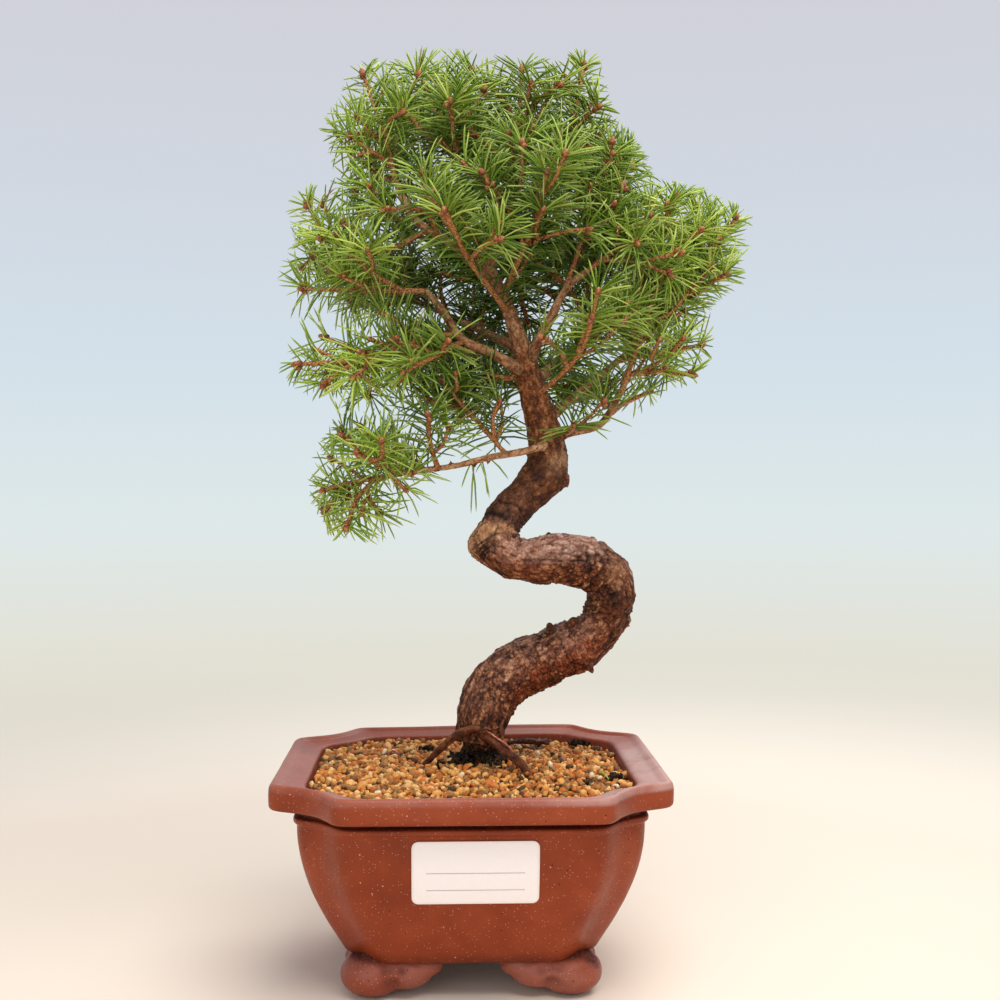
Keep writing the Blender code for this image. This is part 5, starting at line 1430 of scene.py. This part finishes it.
def soil_bed():
    """The closed body of soil under the loose grit."""
    levels = [rim_level(CAVITY_MOUTH - 1.8, RIM_WIDTH + 0.5)]
    levels += [inner_level(z, 0.5) for z in SOIL_LEVELS]
    columns = len(levels[0])
    ring = np.arange(columns)
    top = len(levels) * columns
    triangles = [grid_triangles(len(levels), columns)[:, ::-1], fan(top, ring)]
    triangles.append(fan(top + 1, (len(levels) - 1) * columns + ring, True))
    return np.vstack(levels + [(0, 0, CAVITY_MOUTH - 0.2), (0, 0, SOIL_FLOOR)]), np.vstack(triangles)


# Making: tree


def wood_lines():
    """Every woody line: centre points, radii and kind (0 trunk, 1 root, 2 branch, 3 snag)."""
    lines = []
    trunk = smooth_path(TRUNK, 1.2)
    lines.append((trunk[:, :3], trunk[:, 3], 0))
    for start, end, points in ROOTS:
        path = smooth_path(points, 1.5)
        share = np.linspace(0, 1, len(path))
        lines.append((path, start + (end - start) * share**0.8, 1))
    for start, end, points in BRANCHES.values():
        path = smooth_path(points, 1.5)
        share = np.linspace(0, 1, len(path))
        collar = 1.3 * np.exp(-((share * len(path) * 1.5) / 7.0))
        lines.append((path, start + (end - start) * share + collar, 2))
    for root, tip, radius in SNAGS:
        path = smooth_path([root, tip], 1.0)
        lines.append((path, radius * (1 - 0.6 * np.linspace(0, 1, len(path)) ** 1.6), 3))
    return lines


def tree_skin(lines):
    """Closed skin round all the lines, with the trunk's swellings and knots, as remeshed returns it."""
    tubes = []
    for path, radii, kind in lines:
        sides = TUBE_SIDES[kind]
        points, triangles = tube(path, radii, sides)
        if kind == 0:
            middle = np.vstack([np.repeat(path, sides, axis=0), path[:1], path[-1:]])
            grown = np.ones(len(points))
            for knot, out, wide in SWELLINGS + KNOTS:
                grown += out / 10.0 * near(points, knot, wide)
            points = middle + (points - middle) * grown[:, None]
        tubes.append((points, triangles))
    return remeshed(*stacked(tubes), BARK_CELL)


def trunk_folds(grain, along, skyward, oval):
    """How deep the folds across the trunk are, and the lengthwise crack under its level run."""
    folds = np.zeros(len(grain))
    for spot, wide, seed in FOLDS:
        wander = along + 4.5 * soft_noise(grain + 31.0 * seed, 9.0, 50 + seed)
        there = ramped(soft_noise(grain, 8.0, 70 + seed), -0.45, 0.1)
        folds = np.maximum(folds, np.exp(-(((wander - spot) / wide) ** 2)) * there)
    folds = folds * ramped(oval, 5.0, 6.5)
    seam = np.exp(-(((skyward - 0.42 - 0.25 * soft_noise(grain, 7.0, 90)) / 0.07) ** 2))
    seam = seam * np.interp(along, (118, 126, 140, 150), (0, 1, 1, 0))
    return np.maximum(folds, seam * ramped(soft_noise(grain, 9.0, 91), -0.5, 0.0))


def drift(places, size, seed):
    """Smooth noise in all three directions."""
    return np.stack([soft_noise(places, size, seed + k) for k in range(3)], -1)


def make_tree(bark):
    """Trunk, roots and branches as one skin, worked into fissures, scales and wrinkles."""
    lines = wood_lines()
    places, corners, facing = tree_skin(lines)
    grain, along, radius, kind, turned_in = straightened(places, lines)
    thick = np.clip(radius / 9.0, 0.12, 1.2)
    is_trunk = kind == 0
    scaly, wrinkled, smooth, young, dark, pale = (
        np.where(is_trunk, np.interp(along, MARK_STOPS, on_trunk), np.array((0, *elsewhere))[kind])
        for on_trunk, elsewhere in BARK_MARKS.values()
    )
    # The pale pinkish mark lies only where the bark faces up: partly its own colour, partly a painted
    # highlight from above.
    skyward = ramped(facing[:, 2] - 0.25 * facing[:, 1], -0.1, 0.75)
    pale = pale * skyward
    is_low_branch = np.abs(grain[:, 0] - GRAIN_APART * (1 + len(ROOTS))) < 12
    # Branches are tan, lighter where they face up: a painted highlight.
    tan = np.where(kind == 2, 0.55 + 0.4 * skyward, 0.0) + 0.3 * (is_low_branch & (kind == 2))
    tan = np.maximum(tan, 0.7 * ramped(places[:, 2], 256, 274) * (kind != 1))

    # Scales with cracks round them, folds, and the healed scar
    stretch = grain * (0.8, 0.8, 0.9)
    wavy = stretch + drift(stretch, 3.6, 20) * 1.3
    gap, own = scale_pattern(wavy / 4.2, 31)
    crack = (1 - ramped(gap, 0.02, 0.16)) * scaly * ramped(soft_noise(stretch, 8.0, 5), -0.1, 0.5)
    fine_gap, fine_own = scale_pattern(wavy * (0.7, 0.7, 1.25) / 1.5, 47)
    crack_fine = (1 - ramped(fine_gap, 0.03, 0.2)) * scaly
    oval = np.linalg.norm((places - SCAR_AT) * SCAR_SHAPE, axis=1) + 0.9 * soft_noise(places, 3.0, 92)
    folds = trunk_folds(grain, along, skyward, oval) * is_trunk
    scar = 1 - ramped(oval, 3.4, 6.0)
    outline = np.exp(-(((oval - 6.2) / 0.8) ** 2)) * is_trunk * ramped(-facing[:, 0], -0.5, 0.2)

    lump = soft_noise(grain, 11.0, 11)
    ridges = np.sin(grain[:, 2] * 2 * math.pi / 3.0 + 4.0 * soft_noise(grain, 6.0, 8))
    streak = soft_noise(grain * (1, 1, 0.22), 1.7, 13)
    relief = (lump * 0.85 + soft_noise(grain, 5.0, 12) * 0.5) * thick
    relief += thick * scaly * ((own - 0.5) * 0.8 + (fine_own - 0.5) * 0.35) * ramped(gap, 0.0, 0.25)
    relief -= thick * (0.7 * crack + 0.22 * crack_fine + 0.9 * folds)
    relief += thick * 0.5 * wrinkled * ridges * (0.25 + 0.75 * turned_in)
    relief += np.clip(thick, 0.3, 1) * 0.2 * smooth * streak
    relief += 0.3 * np.clip(thick, 0.3, 1) * (1 - 0.6 * smooth) * soft_noise(grain, 1.5, 14)
    relief += 0.4 * thick * scaly * soft_noise(grain * (1, 1, 0.7), 2.6, 15)
    relief += 0.6 * scar - 0.8 * outline
    knotted = np.zeros(len(places))
    for knot, out, wide in KNOTS:
        knotted = np.maximum(knotted, near(places, knot, 0.7 * wide) * min(1.0, out / 3.0))
        away = np.linalg.norm(places - np.array(knot), axis=1) / wide
        relief += 0.25 * np.sin(away * 11.0) * np.exp(-((away / 0.9) ** 2)) * is_trunk

    rust = np.max([near(places, *spot) for spot in RUST_SPOTS], axis=0)
    ring = np.exp(-(((along + 1.5 * soft_noise(grain, 6.0, 80) - RING_ALONG) / 3.1) ** 4)) * is_trunk
    pleat = np.exp(-(((along - PLEAT_ALONG) / 5.0) ** 4)) * is_trunk
    smoke, light, shaded = (
        near(places, spot, reach, power, shape) * is_trunk
        for (spot, reach, shape), power in ((SMOKE, 2), (LIGHT_PATCH, 4), (SHADED_PATCH, 4))
    )
    hollow = ramped(-lump, 0.2, 0.8) * is_trunk
    dark = dark + 0.45 * knotted + 0.25 * hollow + 0.4 * (kind == 3)
    dark = dark + 0.6 * smoke + 0.4 * pleat + 0.4 * shaded - ring
    masks = {
        "grain": grain,
        "crack": np.clip(0.8 * crack + 0.22 * crack_fine * (1 - pale) + 0.85 * folds + 0.6 * outline, 0, 0.9),
        "pale": np.clip(pale * (1 - 0.6 * knotted), 0, 1),
        "tan": np.clip(np.max([tan, 0.8 * ring, 0.45 * scar, 0.75 * light], axis=0), 0, 1),
        "young": np.clip(young, 0, 1),
        "rust": np.clip(rust + 0.25 * (kind == 1), 0, 1),
        "plain": np.clip(smooth, 0, 1),
        "dark": np.clip(dark, 0, 0.9),
    }
    places = places + facing * relief[:, None]
    return add_piece("tree_bark", places, corners, [bark], "bark", ("tree",), masks)


def straightened(places, lines):
    """The skin's grain, as if each line were straight, and for each point how far along its line it is, the
    line's radius and kind there, and how much it lies on the inside of a bend."""
    rows = []
    for number, (path, radius, kind) in enumerate(lines):
        axis, side, up = frames(path)
        run = run_of(path)
        bend = np.gradient(axis, axis=0) / max(run[-1] / (len(path) - 1), 0.1)
        same = np.ones(len(path), int)
        rows.append((path, axis, side, up, bend, radius, run, same * kind, same * number))
    columns = (np.concatenate(column) for column in zip(*rows))
    centres, axes, sides, ups, bends, radii, runs, kinds, numbers = columns
    best = np.empty(len(places), int)
    for start in range(0, len(places), 4000):
        part = slice(start, start + 4000)
        away = np.linalg.norm(places[part, None] - centres[None], axis=2) - radii[None]
        best[part] = away.argmin(1)
    away = places - centres[best]
    ahead = (away * axes[best]).sum(1)
    along = runs[best] + ahead
    grain = np.stack([(away * sides[best]).sum(1), (away * ups[best]).sum(1), along], -1)
    grain[:, 0] += GRAIN_APART * numbers[best]
    outward = unit(away - axes[best] * ahead[:, None])
    turned_in = ramped((outward * bends[best]).sum(1) * 14, 0.0, 0.5)
    return grain, along, radii[best], kinds[best], turned_in


# Making: needles


def nearest_on(line, place):
    """The closest point of a polyline."""
    starts, runs = line[:-1], np.diff(line, axis=0)
    share = np.clip(((place - starts) * runs).sum(1) / (runs * runs).sum(1), 0, 1)
    points = starts + runs * share[:, None]
    return points[np.linalg.norm(points - place, axis=1).argmin()]


def seen(places):
    """Where places appear to the camera on the upright plane through the pot's middle, across and up."""
    shift = np.atleast_2d(places) - CAMERA_AT
    return np.array(CAMERA_AT)[[0, 2]] + shift[:, [0, 2]] * (-CAMERA_AT[1] / shift[:, 1:2])


def room_left(places):
    """How far inside the crown's outline places look from the front, in millimetres."""
    away = seen(places) - CROWN_MIDDLE[[0, 2]]
    angle = np.degrees(np.arctan2(away[:, 1], away[:, 0]))
    angle = np.where(angle < EDGE_FROM - 5, angle + 360, angle)
    angles = EDGE_FROM + 5.0 * np.arange(-1, len(CROWN_EDGE) + 1)
    return np.interp(angle, angles, [NO_EDGE, *CROWN_EDGE, NO_EDGE]) - np.hypot(*away.T)


def left_out(places):
    """The share of needles that the gaps in the crown leave out at each place."""
    right, up = seen(places).T
    gaps = []
    for x, z, wide, high, share in CROWN_GAPS:
        gaps.append(share * np.exp(-(((right - x) / wide) ** 2 + ((up - z) / high) ** 2) ** 2))
    return np.max(gaps, axis=0)


def before_wood(places, clear):
    """Which places stand before the crown's bare wood and look nearer to it than clear."""
    places = np.atleast_2d(places)
    trunk = smooth_path(TRUNK, 3.0)[:, :3]
    trunk = trunk[(trunk[:, 2] > BARE_TRUNK[0]) & (trunk[:, 2] < BARE_TRUNK[1])]
    hides = np.zeros(len(places), bool)
    for line, share in [(trunk, 1.0)] + [(carrier_line(name), 0.55) for name in BARE_BRANCHES]:
        gap = np.linalg.norm(seen(places)[:, None] - seen(line)[None], axis=2)
        hides |= (places[:, 1] < line[gap.argmin(1), 1] - 3.0) & (gap.min(1) < clear * share)
    return hides


def carrier_line(name):
    """The centre line of what a spray grows from."""
    if name == "trunk":
        return smooth_path(TRUNK, 3.0)[:, :3]
    return smooth_path(BRANCHES[name][2], 3.0)


def shoot_lines(carrier, points, sides, rng):
    """Paths of a spray's stems with their two radii and bare length: main shoot, side shoots, then twigs."""
    root = nearest_on(carrier_line(carrier), np.array(points[0], float))
    shoot = smooth_path([root] + [np.array(p, float) for p in points[1:]], 1.6)
    lines = [(shoot, *MAIN_STEM)]
    for start, tip in sides:
        spot = int(start * (len(shoot) - 1))
        forward = shoot[min(spot + 5, len(shoot) - 1)] - shoot[spot]
        tip = np.array(tip, float)
        middle = shoot[spot] + 0.45 * (tip - shoot[spot]) + 0.35 * forward
        lines.append((smooth_path([shoot[spot], middle, tip], 1.6), *SIDE_STEM))
    for path, _, _, _ in list(lines):
        lines += twig_lines(path, rng)
    return lines


def twig_lines(path, rng):
    """Short leafy twigs on either side of a shoot, leaning forward and a little up."""
    axis, side, up = frames(path)
    step = np.linalg.norm(path[1] - path[0])
    length = step * (len(path) - 1)
    twigs = []
    along = FIRST_TWIG
    turn = rng.uniform(0, 6.28)
    while along < length - LAST_TWIG:
        i = int(along / step)
        turn += math.pi + rng.uniform(-0.9, 0.9)
        out = math.cos(turn) * side[i] + math.sin(turn) * up[i]
        if out[2] < -0.5:
            out = out * (1, 1, -0.4)
        reach = rng.uniform(*TWIG_LENGTHS) * (0.7 + 0.3 * math.sin(math.pi * along / length))
        start = path[i]
        way = 0.72 * out + 0.72 * axis[i] + np.array((0, 0, 0.12))
        while reach > SHORTEST_TWIG and room_left(start + reach * way)[0] < TWIG_ROOM:
            reach *= 0.85
        tip = start + reach * way
        if reach > SHORTEST_TWIG and not before_wood(tip, TWIG_CLEAR)[0]:
            middle = start + reach * (0.42 * out + 0.26 * axis[i])
            twigs.append((smooth_path([start, middle, tip], 1.5), *TWIG_STEM))
        along += TWIG_SPACING * rng.uniform(0.75, 1.25)
    return twigs


def lay_needles(heap, base, axis, out, lean, length, width, bend, tone, fresh, dry):
    """Curved, tapering three-sided needles, all laid at once from arrays with one row a needle."""
    start = np.cos(lean)[:, None] * axis + np.sin(lean)[:, None] * out
    pull = across(np.array((0, 0, -0.4)) - axis * 0.55, start)
    ends = base + length[:, None] * (start + bend[:, None] * pull)
    length = length * np.clip(1 + room_left(ends) / length, 0.6, 1)
    ends = base + length[:, None] * (start + bend[:, None] * pull)
    middles = 0.5 * (base + ends)
    hides = before_wood(ends, TIP_CLEAR) | before_wood(middles, MIDDLE_CLEAR)
    # A needle's tone, scrambled, decides whether a gap in the crown leaves it out
    stays = (room_left(ends) > -2.5) & ~hides & (tone * 97 % 1 > left_out(middles))
    rows = (base, start, pull, length, width, bend, tone, fresh, dry)
    base, start, pull, length, width, bend, tone, fresh, dry = (row[stays] for row in rows)
    count = len(base)
    rows = []
    for t, wide in NEEDLE_STATIONS:
        centre = base + length[:, None] * (t * start + (bend * t * t)[:, None] * pull)
        tangent = unit(start + (2 * bend * t)[:, None] * pull)
        side = unit(np.cross(tangent, pull))
        over = np.cross(side, tangent)
        half = (width * wide)[:, None]
        for turn in round_turns(NEEDLE_SIDES):
            rows.append(centre + half * (math.cos(turn) * side + math.sin(turn) * over))
    tip = base + length[:, None] * (start + bend[:, None] * pull)
    points = np.stack(rows + [tip], axis=1)
    per = points.shape[1]
    last = (len(NEEDLE_STATIONS) - 1) * NEEDLE_SIDES
    point = [(last + j, last + (j + 1) % NEEDLE_SIDES, per - 1) for j in range(NEEDLE_SIDES)]
    faces = np.vstack([grid_triangles(len(NEEDLE_STATIONS), NEEDLE_SIDES), point])[:, ::-1]
    triangles = faces[None] + (np.arange(count) * per)[:, None, None]
    share = np.repeat([t for t, _ in NEEDLE_STATIONS], NEEDLE_SIDES).tolist() + [1.0]
    heap.add(
        points.reshape(-1, 3), triangles.reshape(-1, 3), 0, tone=np.repeat(tone, per),
        fresh=np.repeat(fresh, per), along=np.tile(share, count), dry=np.repeat(dry, per),
    )


def combed(out, ring, ahead, rng):
    """Needle directions combed round the shoot to where they get light, and which of the needles stay."""
    # Needles on the side that faces out of the crown are combed round to the shoot's flanks
    open_side = (ring - CROWN_MIDDLE - (0, 28, 0)) * (0.35, 1, 0) - np.array((0, 0, 14.0))
    open_side = across(open_side, ahead)
    flank = np.cross(ahead, open_side)
    facing_out = (out * open_side).sum(1)
    comb = COMBED * ramped(facing_out, -0.1, 0.6) * (rng.uniform(size=len(out)) > 0.2)
    out = out - (comb * facing_out)[:, None] * open_side
    out += (0.5 * comb * np.where((out * flank).sum(1) < 0, -1, 1))[:, None] * flank
    out = unit(out)
    # Needles under a shoot are drawn up towards its sides
    sagging = np.clip(-out[:, 2], 0, 1)
    keep = rng.uniform(size=len(out)) > 0.35 * sagging
    return across(out + np.array((0, 0, 0.45)) * sagging[:, None], ahead), keep


def leaf_shoot(heap, path, thick, thin, bare, rng):
    """One stem with its pegged needles, the fan at its tip, and its buds."""
    axis, side, up = frames(path)
    along = run_of(path)
    length = along[-1]
    is_long = length > 20
    radii = np.linspace(thick, thin, len(path))
    uneven = 1 + 0.12 * np.sin(along * 3.9 + rng.uniform(0, 6)) + 0.09 * rng.normal(size=len(path))
    heap.add(*tube(path, radii * uneven, STEM_SIDES), 1, along=0.5)

    # Where each needle stands, how far round the stem, and how far it leans out
    count = max(6, int((length - bare) * NEEDLES_PER_MM))
    where = bare + (length - bare) * (np.arange(count) + rng.uniform(-0.4, 0.4, count)) / count
    turn = np.arange(count) * GOLDEN_TURN + rng.uniform(0, 6.28) + rng.uniform(-0.3, 0.3, count)
    lean = np.radians(64 - 12 * ramped(where / length, 0.75, 1.0) + rng.normal(size=count) * 8)
    crowning = 13 if is_long else 10
    tip_turn = np.arange(crowning) * GOLDEN_TURN * 1.02 + rng.uniform(0, 6.28)
    tip_lean = np.radians(np.linspace(64, 20, crowning) + rng.normal(size=crowning) * 6)
    where = np.concatenate([where, np.full(crowning, length - 0.3)])
    turn, lean = np.concatenate([turn, tip_turn]), np.concatenate([lean, tip_lean])
    total = len(where)
    ring = sampled(path, along, where)
    ahead = unit(sampled(axis, along, where))
    beside = across(sampled(side, along, where), ahead)
    out = np.cos(turn)[:, None] * beside + np.sin(turn)[:, None] * np.cross(ahead, beside)
    out, keep = combed(out, ring, ahead, rng)
    base = ring + out * (np.interp(where, along, radii) * 0.55)[:, None]

    # Lime towards the crown's outside and the shoots' tips, where growth is fresh, and on the crown's left
    # and right sides as a painted highlight.
    reach = np.linalg.norm((ring - CROWN_MIDDLE) / CROWN_REACH, axis=1)
    sideways = ramped(abs(ring[:, 0] - CROWN_MIDDLE[0]), 30, 80)
    fresh = ramped(reach, 0.35, 1.0) * 0.5 + 0.2 * where / length + 0.5 * sideways
    fresh = np.clip(fresh + rng.normal(size=total) * 0.1, 0, 1)
    size = NEEDLE_LENGTH * rng.uniform(0.84, 1.12, total)
    width = NEEDLE_HALF_WIDTH * rng.uniform(0.82, 1.12, total)
    bend = rng.uniform(0.04, 0.36, total)
    tone = rng.uniform(0, 1, total)
    dry = rng.uniform(0, 1, total) ** 45
    rows = [base, ahead, out, lean, size, width, bend, tone, fresh, dry]
    lay_needles(heap, *(row[keep] for row in rows))
    lay_buds(heap, path[-1], axis[-1], side[-1], up[-1], rng, 1.0 if is_long else 0.74)


def lay_buds(heap, place, ahead, side, up, rng, scale):
    """A scaly bud at the tip with smaller ones beside it."""
    lay_bud(heap, place - ahead * 0.3, ahead, 1.55 * scale, 3.4 * scale, rng)
    for _ in range(rng.integers(0, 3)):
        turn = rng.uniform(0, 6.28)
        out = math.cos(turn) * side + math.sin(turn) * up
        aim = ahead * 0.75 + out * 0.66
        aim = aim / np.linalg.norm(aim)
        lay_bud(heap, place - ahead * 1.2 + out * 0.7, aim, 1.3 * scale, 2.8 * scale, rng)


def lay_bud(heap, place, ahead, radius, length, rng):
    """One bud, a little uneven."""
    share, wide = BUD_PROFILE.T
    points, triangles = tube(place + ahead * (share[:, None] * length), wide * radius, STEM_SIDES)
    points = points + rng.normal(size=points.shape) * 0.05 * radius
    heap.add(points, triangles, 2, along=np.concatenate([np.repeat(share, STEM_SIDES), [0.0, 1.0]]))


def make_spray(name, finishes):
    """One spray of the table, with all its stems, needles and buds in one piece."""
    carrier, points, sides = SPRAYS[name]
    rng = np.random.default_rng([SEED, list(SPRAYS).index(name)])
    heap = Heap("tone", "fresh", "along", "dry")
    for path, thick, thin, bare in shoot_lines(carrier, points, sides, rng):
        leaf_shoot(heap, path, thick, thin, bare, rng)
    if name == DROOPING_FROM:
        hang_needles(heap, rng)
    return heap.lay("needles_" + name, finishes, "needles", ("spray_" + name,))


def hang_needles(heap, rng):
    """The long needles that hang from the low branch."""
    starts, ends = (np.array(row, float) for row in zip(*DROOPING))
    runs = ends - starts
    length = np.linalg.norm(runs, axis=1)
    count = len(runs)
    even = np.ones(count)
    bends, tone = np.array(DROOPING_BENDS), rng.uniform(0.4, 1, count)
    lay_needles(
        heap, starts, runs / length[:, None], np.tile((0.0, -1.0, 0.0), (count, 1)), -0.25 * even, length,
        NEEDLE_HALF_WIDTH * even, bends, tone, 0.7 * even, 0 * even,
    )


# Making: studio


def make_studio():
    """Pale floor that sweeps up all round into a cool glowing backdrop, and soft lights over it."""
    sweep, tree, shader = new_finish("studio sweep", 0.9, Specular_IOR_Level=0.1)
    rise = mask_of(tree, "rise")
    # The floor's shade is lighter near the pot: painted light against the pot's shadow.
    shade = colours(tree, rise, *SWEEP_SHADES)
    floor = blend(tree, times(tree, plain_noise(tree, 0.004, 2.0), 0.12), shade, tint(206, 190, 176))
    wall_share = between(tree, rise, *WALL_FROM)
    tree.links.new(blend(tree, wall_share, floor, BLACK), shader.inputs["Base Color"])
    tree.links.new(blend(tree, wall_share, BLACK, shade), shader.inputs["Emission Color"])
    shader.inputs["Emission Strength"].default_value = 1.0
    sweep.cycles.emission_sampling = "NONE"
    profile = [(away, 0.0) for away in SWEEP_NEAR]
    profile += [(away, max(z, 0.0)) for away, _, z in smooth_path(SWEEP_RISE, 110.0)]
    turn = round_turns(SWEEP_SIDES)
    rings = [np.column_stack([away * np.cos(turn), away * np.sin(turn), 0 * turn + z]) for away, z in profile]
    # How high each ring looks from the camera
    slopes = [(z - EYE_HEIGHT) / (away + EYE_AWAY) for away, z in profile]
    rises = [(0.5 + slope / PICTURE_SLOPE) / SHADES_REACH for slope in slopes]
    rises = np.clip(np.append(np.repeat(rises, SWEEP_SIDES), 0.0), 0, 1)
    cap = fan(len(rings) * SWEEP_SIDES, np.arange(SWEEP_SIDES), True)
    points = np.vstack(rings + [np.zeros((1, 3))])
    triangles = np.vstack([grid_triangles(len(rings), SWEEP_SIDES), cap])
    add_piece("studio_sweep", points, triangles[:, ::-1], [sweep], masks={"rise": rises})
    world = bpy.data.worlds.new("studio air")
    world.use_nodes = True
    air = world.node_tree.nodes["Background"].inputs
    air["Color"].default_value = tint(*AIR_COLOUR)
    air["Strength"].default_value = AIR_STRENGTH
    bpy.context.scene.world = world
    for name, settings in LIGHTS.items():
        add_light(name, *settings)


def add_light(name, place, aim, size, power, colour):
    light = bpy.data.lights.new(name, "AREA")
    light.shape = "DISK"
    light.size = size * MM
    light.energy = power
    light.color = colour
    lamp = bpy.data.objects.new(name, light)
    lamp.location = np.array(place) * MM + POT_MIDDLE
    lamp.rotation_euler = Vector(np.array(aim, float) - place).to_track_quat("-Z", "Y").to_euler()
    bpy.context.scene.collection.objects.link(lamp)


def make_camera():
    camera = bpy.data.cameras.new("view")
    camera.lens = CAMERA_LENS
    camera.sensor_width = 36.0
    camera.sensor_fit = "HORIZONTAL"
    camera.clip_end = 20.0
    seat = bpy.data.objects.new("view", camera)
    ahead, up = Vector(CAMERA_AHEAD).normalized(), Vector(CAMERA_UP).normalized()
    right = ahead.cross(up).normalized()
    turn = Matrix((right, right.cross(ahead), -ahead)).transposed()
    seat.matrix_world = Matrix.Translation(Vector(np.array(CAMERA_AT) * MM + POT_MIDDLE)) @ turn.to_4x4()
    bpy.context.scene.collection.objects.link(seat)
    bpy.context.scene.camera = seat
    bpy.context.scene.view_settings.view_transform = "Standard"


def make_pins(copper):
    for name, points in PINS.items():
        path = smooth_path(points, 0.7)
        bent = path + drift(path, 2.2, 60) * 0.12
        made, triangles = tube(bent, np.full(len(path), WIRE_RADIUS), 12)
        add_piece(name + "_wire", made, triangles, [copper], "copper", (name,))


def main():
    flecks, specks, stains = make_fleck_effect(), make_speck_effect(), make_stain_effect()
    make_pot(make_clay(flecks, specks, stains))
    make_label(make_paper(flecks))
    bark, green = make_bark(flecks, specks, stains, make_scale_effect()), make_needle_green()
    make_soil(make_grit_stone(flecks), make_flecked(flecks, "dark soil"), bark, green)
    make_tree(bark)
    make_pins(make_copper(stains, flecks))
    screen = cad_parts["drain_screen"]
    screen.data.materials.clear()
    screen.data.materials.append(make_flecked(flecks, "black plastic mesh"))
    finishes = [green, make_flecked(flecks, "twig brown"), make_bud_brown(flecks)]
    for name in SPRAYS:
        make_spray(name, finishes)
    make_studio()
    make_camera()


main()
